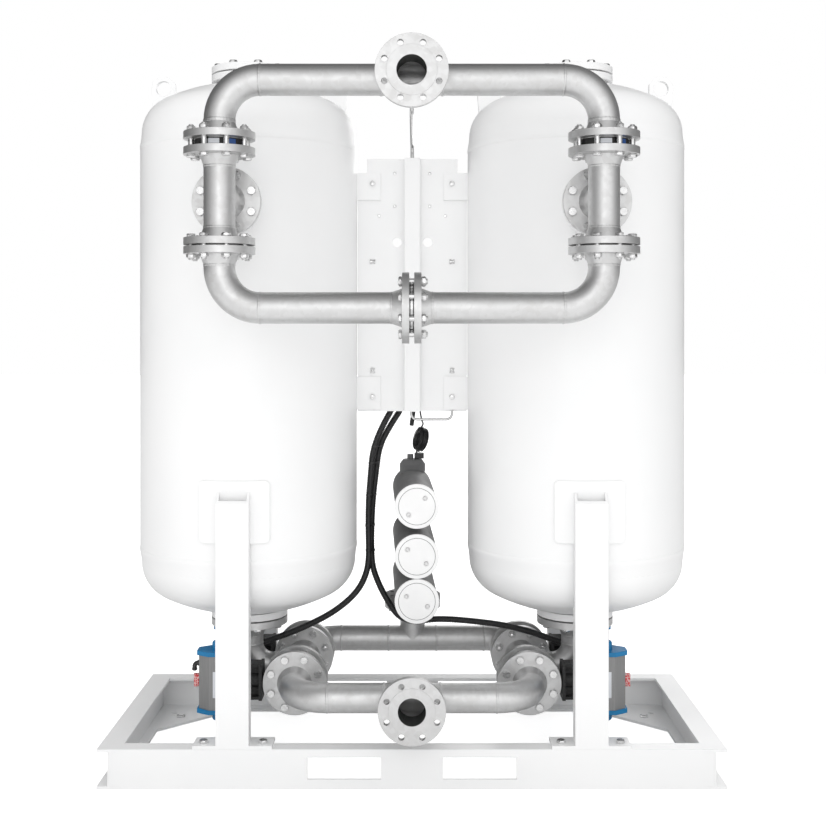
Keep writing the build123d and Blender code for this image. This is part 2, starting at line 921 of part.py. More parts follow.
def check_disc():
    """The flap with its hinge arms and pin, in one piece."""
    disc = Pos(0, 0, check_seat_thick + seat_gap) * Cylinder(check_disc_radius, check_disc_thick, align=UPWARD)
    half = check_pin_length()
    pin = rod(
        (-half, check_pin_offset, check_pin_height()),
        (half, check_pin_offset, check_pin_height()),
        check_pin_radius,
    )
    base = check_seat_thick + seat_gap
    arm = block(
        (-check_disc_radius / 3, check_disc_radius / 2, base),
        (check_disc_radius / 3, check_pin_offset, base + check_disc_thick),
    )
    return disc + arm + pin


def check_place(side):
    return Pos(side * vessel_half_spacing, manifold_y, check_bottom)


# Lower pipework
def lower_tee():
    """From the right vessel's bottom flange through a reducer and a short bend to the valve line."""
    x = vessel_half_spacing
    bend_top = lower_axis_height + short_bend
    wide_bore = wide_pipe_radius - wide_pipe_wall
    cone_low = reducer_top - reducer_cone_length
    spool = Spool()
    place = Pos(x, 0, cone_low)
    spool.outer.append(flange_rim((x, 0, vessel_outlet_face), (0, 0, 1), wide))
    spool.outer.append(place * Cone(pipe_radius, reducer_start_radius, reducer_cone_length, align=UPWARD))
    spool.inner.append(
        place * Cone(bore_radius, reducer_start_radius - pipe_wall, reducer_cone_length, align=UPWARD)
    )
    throat = reducer_start_radius - pipe_wall
    mouth = wide_flange_thick + raised_face
    spool.inner.append(Pos(x, 0, reducer_top) * Cone(throat, wide_bore, mouth, align=UPWARD))
    spool.pipe((x, 0, cone_low), (x, 0, bend_top))
    spool.elbow((x, 0, bend_top), (0, 0, -1), (-1, 0, 0), short_bend)
    spool.pipe((valve_line, 0, lower_axis_height), (x - short_bend, 0, lower_axis_height))
    spool.pipe((valve_line, -tee_reach, lower_axis_height), (valve_line, tee_reach, lower_axis_height))
    for row in SIDES:
        spool.flange((valve_line, row * fitting_reach, lower_axis_height), (0, row, 0))
    return spool.solid()


def low_header(row, branch):
    """The front or rear header between the two valve lines. Its middle branch leaves along branch."""
    z = lower_axis_height
    y = row * header_axis
    bend_start = row * (header_axis - long_bend)
    straight = valve_line - long_bend
    branch = Vector(*branch)
    middle = Vector(0, y, z)
    spool = Spool()
    for side in SIDES:
        x = side * valve_line
        spool.flange((x, row * header_face, z), (0, -row, 0))
        spool.elbow((x, bend_start, z), (0, row, 0), (-side, 0, 0))
    spool.pipe((-straight, y, z), (straight, y, z))
    spool.pipe(middle, middle + branch * tee_reach)
    spool.flange(middle + branch * fitting_reach, branch)
    return spool.solid()


# Butterfly valves, each drawn on the right side at the front, about a stem along X
def valve_place(side, row):
    """Where a valve drawn about its own centre goes. On the left it is turned round, not mirrored."""
    turn = 0 if side > 0 else 180
    return Pos(side * valve_line, row * valve_centre, lower_axis_height) * Rot(0, 0, turn)


def valve_body():
    """A wafer ring with its stem bosses and the ribbed neck that carries the actuator."""
    body_width = valve_width - 2 * liner_lip
    across = Rot(90, 0, 0)
    ring = across * Cylinder(valve_ring_radius, body_width)
    yoke_x = yoke_start - valve_line
    boss = rod((0, 0, 0), (yoke_x, 0, 0), valve_boss_radius)
    neck = rod((yoke_x, 0, 0), (yoke_x + yoke_length, 0, 0), yoke_neck_radius)
    web = Pos(yoke_x + yoke_length / 2, 0, 0) * Box(yoke_length, yoke_web_thick, yoke_height)
    foot = rod((-valve_foot_reach, 0, 0), (0, 0, 0), valve_foot_radius)
    half = yoke_height / 2
    near = block((yoke_x, -yoke_depth / 2, -half), (yoke_x + yoke_plate, yoke_depth / 2, half))
    far_x = yoke_x + yoke_length
    far = block((far_x - yoke_plate, -yoke_depth / 2, -half), (far_x, yoke_depth / 2, half))
    ribs = [
        Pos(yoke_x + yoke_length / 2, 0, turn * (half - yoke_rib_thick / 2))
        * Box(yoke_length, yoke_rib_depth, yoke_rib_thick)
        for turn in SIDES
    ]
    bore = across * Cylinder(liner_radius + liner_wall, 2 * valve_width)
    stem_hole = rod(
        (-(disc_radius() + 3 * stem_radius), 0, 0), (far_x, 0, 0), stem_radius + running_gap
    )
    far_hole = rod((far_x - yoke_plate, 0, 0), (far_x, 0, 0), yoke_hole_radius)
    return ring + boss + foot + neck + web + near + far + ribs - bore - stem_hole - far_hole


def disc_radius():
    return liner_radius - disc_gap


def valve_liner():
    """The rubber sleeve that seals the disc and both neighbouring flanges."""
    across = Rot(90, 0, 0)
    sleeve = across * Cylinder(liner_radius + liner_wall, valve_width)
    bore = across * Cylinder(liner_radius, 2 * valve_width)
    stem_hole = rod(
        (-2 * liner_radius, 0, 0), (2 * liner_radius, 0, 0), stem_radius + running_gap
    )
    return sleeve - bore - stem_hole


def valve_disc():
    """The disc with its hub, the stem and the actuator's pinion, which turn as one.

    The hub's corners stay inside the sphere that the disc's rim turns in.
    """
    across = Rot(90, 0, 0)
    radius = disc_radius()
    plate = across * Cylinder(radius, disc_thick)
    hub_half = sqrt(radius ** 2 - disc_hub_radius ** 2) - disc_gap
    hub = rod((-hub_half, 0, 0), (hub_half, 0, 0), disc_hub_radius)
    foot_end = -(radius + 2 * stem_radius)
    body_face = actuator_start - valve_line
    stem = rod((foot_end, 0, 0), (body_face, 0, 0), stem_radius)
    pinion = rod((body_face, 0, 0), (actuator_end - valve_line, 0, 0), pinion_radius)
    return plate + hub + stem + pinion


# Actuators
def actuator_outline(side_margin=0, end_margin=0):
    """The body's section in X and Y: square to the yoke, with a narrower crown at the far end."""
    near = actuator_start - valve_line
    shoulder = near + actuator_shoulder + side_margin
    end = near + actuator_reach + end_margin
    half = actuator_depth / 2 + side_margin
    crown = actuator_crown_depth / 2 + side_margin
    outline = Polyline(
        (near, -half), (shoulder, -half), (end, -crown), (end, crown), (shoulder, half), (near, half),
        close=True,
    )
    return make_face(outline)


def actuator_body(side, row):
    """The extruded cylinder body. A rear one has an angled port for the conduit on its inner face."""
    body = extrude(actuator_outline(), actuator_height / 2, both=True)
    near = actuator_start - valve_line
    end = actuator_end - valve_line
    shaft_hole = rod((near, 0, 0), (end, 0, 0), pinion_radius + running_gap)
    body = fillet(body.edges().filter_by(Axis.Z), cap_round / 2) - shaft_hole
    if row < 0:
        return body
    middle = -side * (actuator_depth + port_reach) / 2
    port = Pos(near + port_offset, middle, port_rise) * Box(port_width, port_reach, port_width)
    return body + port


def actuator_caps():
    """The two blue end covers of one actuator, each with the domed end of a cylinder."""
    plate = extrude(actuator_outline(cap_side, cap_overhang), cap_plate)
    plate = fillet(plate.edges().filter_by(Axis.Z), cap_round / 2)
    centre = actuator_start - valve_line + actuator_shoulder / 2
    dome = Pos(centre, 0, 0) * Cylinder(cap_dome_radius, cap_plate + cap_dome_height, align=UPWARD)
    dome = fillet(dome.edges().group_by(Axis.Z)[-1], cap_round)
    cap = Pos(0, 0, actuator_height / 2) * (plate + dome)
    return [cap, mirror(cap, about=Plane.XY)]


def indicator():
    """The position indicator on the end of the pinion, with a raised bar along the disc's plane."""
    start = actuator_end - valve_line
    base = rod((start, 0, 0), (start + indicator_base, 0, 0), indicator_radius)
    bar = block(
        (start, -indicator_bar_width / 2, -indicator_radius),
        (start + indicator_base + indicator_bar_height, indicator_bar_width / 2, indicator_radius),
    )
    rim = rod((start, 0, 0), (start + 3 * indicator_base, 0, 0), indicator_radius)
    return base + (bar & rim)


# Exhaust silencers
def turned_stack():
    """The drums' small turn about the exhaust riser."""
    return Pos(0, header_axis, 0) * Rot(0, 0, stack_turn) * Pos(0, -header_axis, 0)


def drum(height):
    """One silencer drum, closed and rounded at the rear."""
    place = Plane(origin=(0, drum_front, height), z_dir=(0, 1, 0)).location
    body = Cylinder(drum_radius, drum_back - drum_front, align=UPWARD)
    return place * fillet(body.edges().group_by(Axis.Z)[-1], drum_end_round)


def drum_hollow(height):
    return rod((0, drum_front, height), (0, drum_back - drum_wall, height), drum_radius - drum_wall)


def mounting_ear():
    """A plate with cut corners behind the lowest drum's front, which steadies the conduits."""
    plate = Rectangle(2 * ear_half_width, ear_height)
    plate = chamfer(plate.vertices(), ear_corner)
    height = drum_axes[0] - ear_drop
    place = Plane(origin=(0, ear_place, height), z_dir=(0, -1, 0)).location
    return place * extrude(plate, ear_thick)


def silencer_housing():
    """The stack of three drums on the exhaust pipe, with its closing cap on top."""
    foot = (0, header_axis, silencer_rim_face)
    top = (0, header_axis, stack_top)
    outer = [turned_stack() * drum(height) for height in drum_axes]
    outer.append(flange_rim(foot, (0, 0, -1), narrow, bolt_radius + thread_gap))
    outer.append(rod(foot, top, pipe_radius))
    outer.append(turned_stack() * mounting_ear())
    skirt = Pos(0, header_axis, stack_top - stack_cap_skirt) * Cylinder(
        stack_cap_radius, stack_cap_skirt, align=UPWARD
    )
    crown = Pos(*top) * Cone(stack_cap_radius, stack_cap_top_radius, stack_cap_height, align=UPWARD)
    plug = Pos(stack_plug_offset, header_axis, stack_cap_top) * extrude(
        RegularPolygon(stack_plug_radius, 6), stack_plug_height
    )
    outer += [skirt, crown, plug]
    inner = [turned_stack() * drum_hollow(height) for height in drum_axes]
    inner.append(rod((0, header_axis, silencer_rim_face - raised_face), top, bore_radius))
    return Part() + outer - inner


def silencer_cover(height, angle):
    """A round cover with a ring groove and two countersunk screw pockets."""
    place = Plane(origin=(0, drum_front, height), x_dir=(1, 0, 0), z_dir=(0, -1, 0)).location
    disc = Cylinder(cover_radius, cover_thick, align=UPWARD)
    disc = fillet(disc.edges().group_by(Axis.Z)[-1], cover_groove_width)
    groove = Cylinder(cover_groove_radius + cover_groove_width, cover_groove_depth, align=DOWNWARD)
    groove -= Cylinder(cover_groove_radius, 3 * cover_groove_depth)
    pocket = Cylinder(cover_pocket_radius, cover_pocket_depth, align=DOWNWARD)
    pockets = [
        Rot(0, 0, angle) * Pos(side * cover_screw_radius, 0, cover_thick) * pocket for side in SIDES
    ]
    return turned_stack() * place * (disc - Pos(0, 0, cover_thick) * groove - pockets)


def exhaust_sensor():
    """The sensor on the stack's cap, with its square connector."""
    base = (sensor_offset, header_axis, stack_cap_top)
    stem_top = stack_cap_top + sensor_stem_height
    stem = rod(base, (sensor_offset, header_axis, stem_top), sensor_stem_radius)
    head = block(
        (sensor_offset - sensor_stem_radius, header_axis - sensor_width / 2, stem_top),
        (
            sensor_offset - sensor_stem_radius + sensor_length,
            header_axis + sensor_width / 2,
            stem_top + sensor_height,
        ),
    )
    return stem + head


# Panel, channel and cabinet
def panel_hole(x, height, radius):
    return Pos(x, 0, height) * Rot(90, 0, 0) * Cylinder(radius, 8 * panel_sheet)


def carrier_panel():
    """One folded sheet between the vessels, with its sides turned back and its top corners cut."""
    half = panel_half_width
    top = panel_top
    body = block((-half, 0, panel_bottom), (half, panel_return, top))
    inside = block((panel_sheet - half, panel_sheet, panel_bottom), (half - panel_sheet, panel_return, top))
    notch_x = panel_top_half_width
    notches = [
        block((notch_x, 0, top - panel_notch), (half, panel_return, top)),
        block((-half, 0, top - panel_notch), (-notch_x, panel_return, top)),
    ]
    bolt_rises = [upper_bracket_bolt_rise, lower_bracket_bolt_rise, *cabinet_bolt_rises]
    holes = [panel_hole(side * panel_hole_x, panel_bottom + panel_hole_rise, panel_hole_radius) for side in SIDES]
    holes += [
        panel_hole(side * bracket_bolt_x, panel_bottom + rise, panel_bolt_radius + seat_gap)
        for side in SIDES
        for rise in bolt_rises
    ]
    return body - inside - notches - holes


def cable_channel():
    """A folded cover over the cables and tubes on the panel's front."""
    half = channel_cover_width / 2
    sheet = channel_cover_sheet
    body = block((-half, -channel_cover_depth, panel_bottom), (half, 0, panel_top))
    return body - block((sheet - half, sheet - channel_cover_depth, panel_bottom), (half - sheet, 0, panel_top))


def hinge_heights():
    """The height of the joint between the two knuckles of each hinge."""
    return [cabinet_bottom + hinge_inset, cabinet_top - hinge_inset]


def hinge_leaf(low_y, high_y, low_z, high_z):
    """The flat of one hinge knuckle, from the hinge's axis to the cabinet's side."""
    return block((hinge_x, low_y, low_z), (-cabinet_half_width, high_y, high_z))


def control_cabinet():
    """A folded sheet box with an inner lip, glands below, and lift-off hinge pins on its left side."""
    half = cabinet_half_width
    sheet = cabinet_sheet
    body = block((-half, cabinet_back, cabinet_bottom), (half, cabinet_front, cabinet_top))
    inside = block(
        (sheet - half, cabinet_back + sheet, cabinet_bottom + sheet),
        (half - sheet, cabinet_front - sheet, cabinet_top - sheet),
    )
    lip = cabinet_lip
    mouth = block(
        (lip - half, cabinet_back + sheet, cabinet_bottom + lip), (half - lip, cabinet_front, cabinet_top - lip)
    )
    box = body - inside - mouth
    holes = [
        panel_hole(side * bracket_bolt_x, panel_bottom + rise, panel_bolt_radius + seat_gap)
        for side in SIDES
        for rise in cabinet_bolt_rises
    ]
    glands = [
        rod((x, y, cabinet_bottom), (x, y, gland_bottom), radius)
        for x, y, radius in (
            (left_gland_x, left_gland_y, gland_radius),
            (right_gland_x, right_gland_y, gland_radius),
            (cable_gland_x, cable_gland_y, cable_gland_radius),
        )
    ]
    knuckles = []
    for height in hinge_heights():
        low = height - hinge_length
        knuckles.append(rod((hinge_x, hinge_y, low), (hinge_x, hinge_y, height), hinge_radius))
        knuckles.append(hinge_leaf(cabinet_front - 3 * hinge_radius, cabinet_front, low, height))
        knuckles.append(
            rod((hinge_x, hinge_y, height), (hinge_x, hinge_y, height + hinge_length), hinge_pin_radius)
        )
    return box - holes + glands + knuckles


def cabinet_door():
    """A shallow folded door with two hinge sleeves and the lock's hole."""
    half = cabinet_half_width
    sheet = cabinet_sheet
    pan = block((-half, hinge_y, cabinet_bottom), (half, door_front, cabinet_top))
    pan -= block(
        (sheet - half, hinge_y, cabinet_bottom + sheet), (half - sheet, door_front - sheet, cabinet_top - sheet)
    )
    sleeves = []
    pins = []
    for height in hinge_heights():
        low = height + seat_gap
        high = height + hinge_length
        sleeves.append(rod((hinge_x, hinge_y, low), (hinge_x, hinge_y, high), hinge_radius))
        sleeves.append(hinge_leaf(hinge_y, hinge_y + hinge_radius, low, high))
        pins.append(
            rod((hinge_x, hinge_y, height), (hinge_x, hinge_y, high + 1), hinge_pin_radius + running_gap)
        )
    lock_hole = rod(
        (lock_x, door_front - 2 * sheet, lock_height),
        (lock_x, door_front, lock_height),
        lock_stem_radius + running_gap,
    )
    return pan + sleeves - pins - lock_hole


def door_lock():
    """A quarter-turn lock. Its cam hangs down when open and turns behind the cabinet's lip."""
    cam_front = cabinet_front - cabinet_sheet - cam_gap
    head = rod((lock_x, door_front, lock_height), (lock_x, door_front + lock_head, lock_height), lock_radius)
    key = block(
        (lock_x - lock_key_width / 2, door_front, lock_height - lock_stem_radius),
        (lock_x + lock_key_width / 2, door_front + 2 * lock_head, lock_height + lock_stem_radius),
    )
    stem = rod((lock_x, cam_front - cam_thick, lock_height), (lock_x, door_front, lock_height), lock_stem_radius)
    cam = block(
        (lock_x - cam_width / 2, cam_front - cam_thick, lock_height - cam_length),
        (lock_x + cam_width / 2, cam_front, lock_height),
    )
    return head + key + stem + cam


def module(x, width, low, height, depth):
    """One closed module on the mounting plate, centred on x."""
    return block((x - width / 2, backplate_face, low), (x + width / 2, backplate_face + depth, low + height))


def centred_row(count, pitch):
    """Evenly spaced X places about the middle."""
    return [(number - (count - 1) / 2) * pitch for number in range(count)]


def control_modules():
    """The mounting plate on its stand-offs, with the controller, the terminals and the pilot valves."""
    half = cabinet_half_width - backplate_margin
    low = cabinet_bottom + backplate_margin
    high = cabinet_top - backplate_margin
    back = cabinet_back + cabinet_sheet
    plate_back = back + backplate_standoff
    parts = [block((-half, plate_back, low), (half, backplate_face, high))]
    for x in (backplate_margin - half, half - backplate_margin):
        for z in (low + backplate_margin, high - backplate_margin):
            parts.append(rod((x, back, z), (x, plate_back, z), standoff_radius))
    controller_low = high - module_margin - controller_height
    terminal_low = controller_low - module_spacing - terminal_height
    pilot_low = terminal_low - module_spacing - pilot_height
    parts.append(module(0, controller_width, controller_low, controller_height, controller_depth))
    rail_width = terminal_count * terminal_pitch + module_rail_height
    rail_low = terminal_low + (terminal_height - module_rail_height) / 2
    parts.append(module(0, rail_width, rail_low, module_rail_height, module_rail_depth))
    for x in centred_row(terminal_count, terminal_pitch):
        parts.append(module(x, terminal_width, terminal_low, terminal_height, terminal_depth))
    manifold_low = pilot_low + (pilot_height - module_rail_height) / 2
    parts.append(module(0, (pilot_count + 1) * pilot_pitch, manifold_low, module_rail_height, pilot_manifold_depth))
    for x in centred_row(pilot_count, pilot_pitch):
        parts.append(module(x, pilot_width, pilot_low, pilot_height, pilot_depth))
    return Part() + parts


# Fasteners
def hexagon(height):
    return extrude(RegularPolygon(hexagon_radius, 6), height)


def hex_bolt(grip, end=nut_height + thread_end):
    """A bolt along Z. Its head's underside is at the origin, and its shank spans the grip."""
    shank = Cylinder(bolt_radius, grip + end, align=UPWARD)
    return Pos(0, 0, -bolt_head_height) * hexagon(bolt_head_height) + shank


def hex_nut(grip):
    nut = hexagon(nut_height) - Cylinder(bolt_radius + thread_gap, 3 * nut_height)
    return Pos(0, 0, grip) * nut


@dataclass
class Joint:
    """A bolted joint. Its heads lie at start, and the bolts point along axis."""

    start: tuple
    axis: tuple
    circle: float
    grip: float
    tapped: bool = False


def flanged_joints():
    """Every flanged joint of the dryer, on both sides."""
    pair_grip = 2 * flange_thick + joint_gap
    joints = []
    for side in SIDES:
        x = side * vessel_half_spacing
        low_end = (x, manifold_y, tee_low_face + flange_thick)
        joints.append(Joint(low_end, (0, 0, -1), flange_bolt_circle, pair_grip))
        top_end = (x, manifold_y, tee_top_face - flange_thick)
        joints.append(Joint(top_end, (0, 0, 1), flange_bolt_circle, 2 * flange_thick + check_gap))
        nozzle_end = (x, manifold_y + fitting_reach - flange_thick, nozzle_height)
        joints.append(Joint(nozzle_end, (0, 1, 0), flange_bolt_circle, pair_grip))
        outlet = (x, 0, vessel_outlet_face - wide_flange_thick)
        joints.append(Joint(outlet, (0, 0, 1), wide_bolt_circle, 2 * wide_flange_thick + joint_gap, True))
        port = (x, 0, blind_bottom + wide_flange_thick)
        joints.append(Joint(port, (0, 0, -1), wide_bolt_circle, 2 * wide_flange_thick + joint_gap, True))
        for row in SIDES:
            start = (side * valve_line, row * (header_face + flange_thick), lower_axis_height)
            grip = 2 * flange_thick + header_face - fitting_reach
            joints.append(Joint(start, (0, -row, 0), flange_bolt_circle, grip))
    middle = (-(flange_thick + orifice_gap / 2), manifold_y, purge_axis_height)
    joints.append(Joint(middle, (1, 0, 0), flange_bolt_circle, 2 * flange_thick + orifice_gap))
    riser = (0, header_axis, exhaust_face_height - flange_thick)
    joints.append(Joint(riser, (0, 0, 1), flange_bolt_circle, pair_grip, True))
    return joints


def skid_bolt_places():
    """The foot bolts and the earthing bolts: where each head lies, and the grip under it."""
    foot_y = skid_half_depth - foot_bolt_inset
    feet = [((x, row * foot_y, foot_top), foot_thick + rail_flange_thick) for x in foot_bolt_places() for row in SIDES]
    earth = [
        ((side * earth_bolt_x, row * earth_bolt_y, rail_flange_thick), rail_flange_thick)
        for side in SIDES
        for row in SIDES
    ]
    return feet, earth


def bolts():
    """All bolts as separate solids. An earthing bolt ends flush under its plate."""
    shanks = panel_bolts()
    for joint in flanged_joints():
        place = Plane(origin=joint.start, z_dir=joint.axis).location
        bolt = hex_bolt(joint.grip, -blind_thread_stop) if joint.tapped else hex_bolt(joint.grip)
        shanks += ring_of(bolt, place, joint.circle)
    feet, earth = skid_bolt_places()
    down = Rot(180, 0, 0)
    shanks += [Pos(*place) * down * hex_bolt(grip) for place, grip in feet]
    shanks += [Pos(*place) * down * hex_bolt(grip, 0) for place, grip in earth]
    return group(shanks)


def nuts():
    hexagons = []
    for joint in flanged_joints():
        if not joint.tapped:
            place = Plane(origin=joint.start, z_dir=joint.axis).location
            hexagons += ring_of(hex_nut(joint.grip), place, joint.circle)
    feet, _ = skid_bolt_places()
    hexagons += [Pos(*place) * Rot(180, 0, 0) * hex_nut(grip) for place, grip in feet]
    return group(hexagons)


def panel_bolts():
    """Small bolts that hold the brackets, the panel and the cabinet together."""
    bolts = []
    clamped = [
        (upper_bracket_bolt_rise, bracket_thick, 0),
        (lower_bracket_bolt_rise, bracket_thick, 0),
        *[(rise, 0, cabinet_sheet) for rise in cabinet_bolt_rises],
    ]
    for rise, front, back in clamped:
        height = panel_bottom + rise
        for side in SIDES:
            x = side * bracket_bolt_x
            tail = panel_sheet + back
            shank = rod((x, -front, height), (x, tail + panel_bolt_head_height, height), panel_bolt_radius)
            head = rod(
                (x, -front - panel_bolt_head_height, height), (x, -front, height), panel_bolt_head_radius
            )
            nut = rod((x, tail, height), (x, tail + panel_bolt_head_height, height), panel_bolt_head_radius)
            bolts.append(shank + head + nut)
    return bolts


# Seals
def gasket_disc(face, axis, outer, inner):
    place = Plane(origin=face, z_dir=axis).location
    return place * (Cylinder(outer, gasket_thick, align=UPWARD) - Cylinder(inner, 3 * gasket_thick))


def gaskets():
    """Every flat gasket and the four butterfly valves' liners."""
    seals = []
    wide_bore = wide_pipe_radius - wide_pipe_wall
    for side in SIDES:
        x = side * vessel_half_spacing
        narrow_faces = [
            ((x, manifold_y, tee_low_face - raised_face), (0, 0, -1)),
            ((x, manifold_y, tee_top_face + raised_face), (0, 0, 1)),
            ((x, manifold_y, check_bottom + check_valve_thick), (0, 0, 1)),
            ((x, manifold_y + fitting_reach + raised_face, nozzle_height), (0, 1, 0)),
            ((side * orifice_thick / 2, manifold_y, purge_axis_height), (side, 0, 0)),
        ]
        seals += [gasket_disc(face, axis, gasket_radius, bore_radius) for face, axis in narrow_faces]
        for height in (vessel_outlet_face + raised_face, fill_rim_face + raised_face):
            seals.append(gasket_disc((x, 0, height), (0, 0, 1), wide_face_radius, wide_bore))
        seals += [valve_place(side, row) * valve_liner() for row in SIDES]
    riser = (0, header_axis, exhaust_face_height + raised_face)
    seals.append(gasket_disc(riser, (0, 0, 1), gasket_radius, bore_radius))
    return group(seals)


# Tubes, conduits and the sensor cable
def turn_radii(points):
    """The largest arc that fits at each corner of a route, from its shorter run."""
    radii = []
    for before, corner, after in zip(points, points[1:], points[2:]):
        arriving = Vector(*corner) - Vector(*before)
        leaving = Vector(*after) - Vector(*corner)
        half_turn = radians(arriving.get_angle(leaving)) / 2
        radii.append(arc_share * min(arriving.length, leaving.length) / tan(half_turn))
    return radii


def cord_tube(name, points, radius):
    """A tube along straight runs joined by tangent arcs. Its arcs' radii are printed."""
    radii = turn_radii(points)
    print(name, "arc radii in diameters", [round(arc / (2 * radius), 1) for arc in radii])
    path = FilletPolyline(*points, radius=radii)
    section = Plane(origin=path @ 0, z_dir=path % 0).location * Circle(radius)
    return sweep(section, path=path)


def sensor_coil():
    """The outer form of the spare cable's tied coil, a leaning ring over the sensor."""
    place = Pos(coil_x, header_axis, coil_height) * Rot(0, coil_lean, 0) * Rot(0, 0, coil_turn)
    return place * Rot(0, 90, 0) * Torus(coil_ring_radius, coil_section_radius)


def sensor_cable():
    """From the cabinet's gland to the coil's top, and from the coil's bottom to the sensor."""
    upper = cord_tube("sensor cable", sensor_cable_points, cable_radius)
    lower = rod((sensor_offset, header_axis, coil_low), (sensor_offset, header_axis, sensor_top), cable_radius)
    return group([upper, lower])


def bent_tube(points, bend_radius, radius):
    path = FilletPolyline(*points, radius=bend_radius)
    section = Plane(origin=path @ 0, z_dir=path % 0).location * Circle(radius)
    return sweep(section, path=path)


def instrument_tubes():
    """The pressure tube from the outlet into the channel, and the small drain tube below it."""
    tee_bottom = outlet_axis_height - pipe_radius - seat_gap
    run_height = tee_bottom - sense_tube_drop
    sense_y = -(sense_tube_radius + seat_gap)
    sense = [
        (0, manifold_y, tee_bottom),
        (0, manifold_y, run_height),
        (0, sense_y, run_height),
        (0, sense_y, panel_top - sense_tube_hidden),
    ]
    drain_y = -(drain_tube_radius + seat_gap)
    drain_low = panel_bottom - drain_tube_drop
    drain_end = panel_bottom + lower_bracket_rise - seat_gap
    drain = [
        (drain_tube_x, drain_y, panel_bottom + drain_tube_hidden),
        (drain_tube_x, drain_y, drain_low),
        (bracket_bolt_x, drain_y, drain_low),
        (bracket_bolt_x, drain_y, drain_end),
    ]
    return group(
        [
            bent_tube(sense, 4 * sense_tube_radius, sense_tube_radius),
            bent_tube(drain, drain_tube_bend, drain_tube_radius),
        ]
    )


# All nodes by name
def build_nodes():
    right_vessel = vessel()
    right_tee = lower_tee()
    nodes = {
        "front_rail": end_rail(-1),
        "rear_rail": end_rail(1),
        "left_side_rail": side_rail(-1),
        "right_side_rail": side_rail(1),
        "corner_gussets": corner_gussets(),
        "left_vessel": mirror(right_vessel, about=Plane.YZ),
        "right_vessel": right_vessel,
        "lifting_lugs": lifting_lugs(),
        "desiccant_beds": desiccant_beds(),
        "bed_screens": bed_screens(),
        "left_legs": vessel_legs(-1),
        "right_legs": vessel_legs(1),
        "fill_port_covers": fill_port_covers(),
        "outlet_header": outlet_header(),
        "left_upper_tee": upper_tee(-1),
        "right_upper_tee": upper_tee(1),
        "left_purge_pipe": purge_pipe(-1),
        "right_purge_pipe": purge_pipe(1),
        "purge_orifice_plate": purge_orifice_plate(),
        "check_valve_bodies": group([check_place(side) * check_valve_body() for side in SIDES]),
        "left_check_disc": check_place(-1) * check_disc(),
        "right_check_disc": check_place(1) * check_disc(),
        "inlet_header": low_header(-1, (0, -1, 0)),
        "exhaust_header": low_header(1, (0, 0, 1)),
        "left_lower_tee": mirror(right_tee, about=Plane.YZ),
        "right_lower_tee": right_tee,
        "silencer_housing": silencer_housing(),
        "silencer_covers": group(
            [silencer_cover(height, angle) for height, angle in zip(drum_axes, cover_screw_angles)]
        ),
        "exhaust_sensor": exhaust_sensor(),
        "carrier_panel": carrier_panel(),
        "cable_channel": cable_channel(),
        "control_cabinet": control_cabinet(),
        "control_modules": control_modules(),
        "cabinet_door": cabinet_door(),
        "door_lock": door_lock(),
        "bolts": bolts(),
        "nuts": nuts(),
        "gaskets": gaskets(),
        "instrument_tubes": instrument_tubes(),
        "left_conduit": cord_tube("left conduit", left_conduit_points, conduit_radius),
        "right_conduit": cord_tube("right conduit", right_conduit_points, conduit_radius),
        "sensor_cable": sensor_cable(),
        "sensor_coil": sensor_coil(),
    }
    caps = []
    for row_name, row in ROWS.items():
        for side_name, side in (("left", -1), ("right", 1)):
            place = valve_place(side, row)
            name = f"{row_name}_{side_name}"
            nodes[f"{name}_valve_body"] = place * valve_body()
            nodes[f"{name}_valve_disc"] = place * valve_disc()
            nodes[f"{name}_indicator"] = place * indicator()
            nodes[f"{name}_actuator"] = place * actuator_body(side, row)
            caps += [place * cap for cap in actuator_caps()]
    nodes["actuator_end_caps"] = group(caps)
    return nodes


os.makedirs("parts", exist_ok=True)
for node_name, shape in build_nodes().items():
    export_step(shape, f"parts/{node_name}.step")
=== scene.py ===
# The looks of a twin-tower desiccant air dryer, in metres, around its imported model.
# X runs along the skid, Y from the air inlet's side to the cabinet's side, and Z up from the floor.
import json
import math
import random

import bmesh
import bpy
from mathutils import Matrix, Vector


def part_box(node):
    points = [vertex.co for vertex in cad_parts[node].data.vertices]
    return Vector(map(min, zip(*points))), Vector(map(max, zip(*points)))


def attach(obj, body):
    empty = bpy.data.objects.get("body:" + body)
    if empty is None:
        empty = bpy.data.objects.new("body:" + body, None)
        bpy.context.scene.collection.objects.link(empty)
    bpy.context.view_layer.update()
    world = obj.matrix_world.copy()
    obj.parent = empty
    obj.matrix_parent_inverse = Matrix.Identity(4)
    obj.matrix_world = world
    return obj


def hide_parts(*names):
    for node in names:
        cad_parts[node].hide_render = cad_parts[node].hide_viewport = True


SIDES = (-1, 1)

# Camera: it looks level along Y, and its picture is shifted instead of tilted
CAMERA_PLACE = (0.009, -3.98, 1.39)
CAMERA_LENS = 52.17
CAMERA_SHIFT_X = -0.0024
CAMERA_SHIFT_Y = -0.1053

# The studio's brightness from behind, 0, to straight in front, 1: as light, and as seen in shiny metal
FRONT_LIGHT = [(0.0, 0.16), (0.3, 0.2), (0.42, 0.27), (0.54, 0.4), (0.66, 0.66), (0.82, 0.95), (0.94, 1.0)]
LIGHT_STRENGTH = 1.04
CEILING_LIGHT = 0.6
FRONT_SHINE = [(0.0, 0.1), (0.4, 0.1), (0.56, 0.13), (0.7, 0.3), (0.82, 0.66), (0.93, 1.0)]
SHINE_STRENGTH = 1.2
SHINE_LEFT = 0.62
SHINE_RIGHT = 1.3
SHINE_EDGE = 0.8

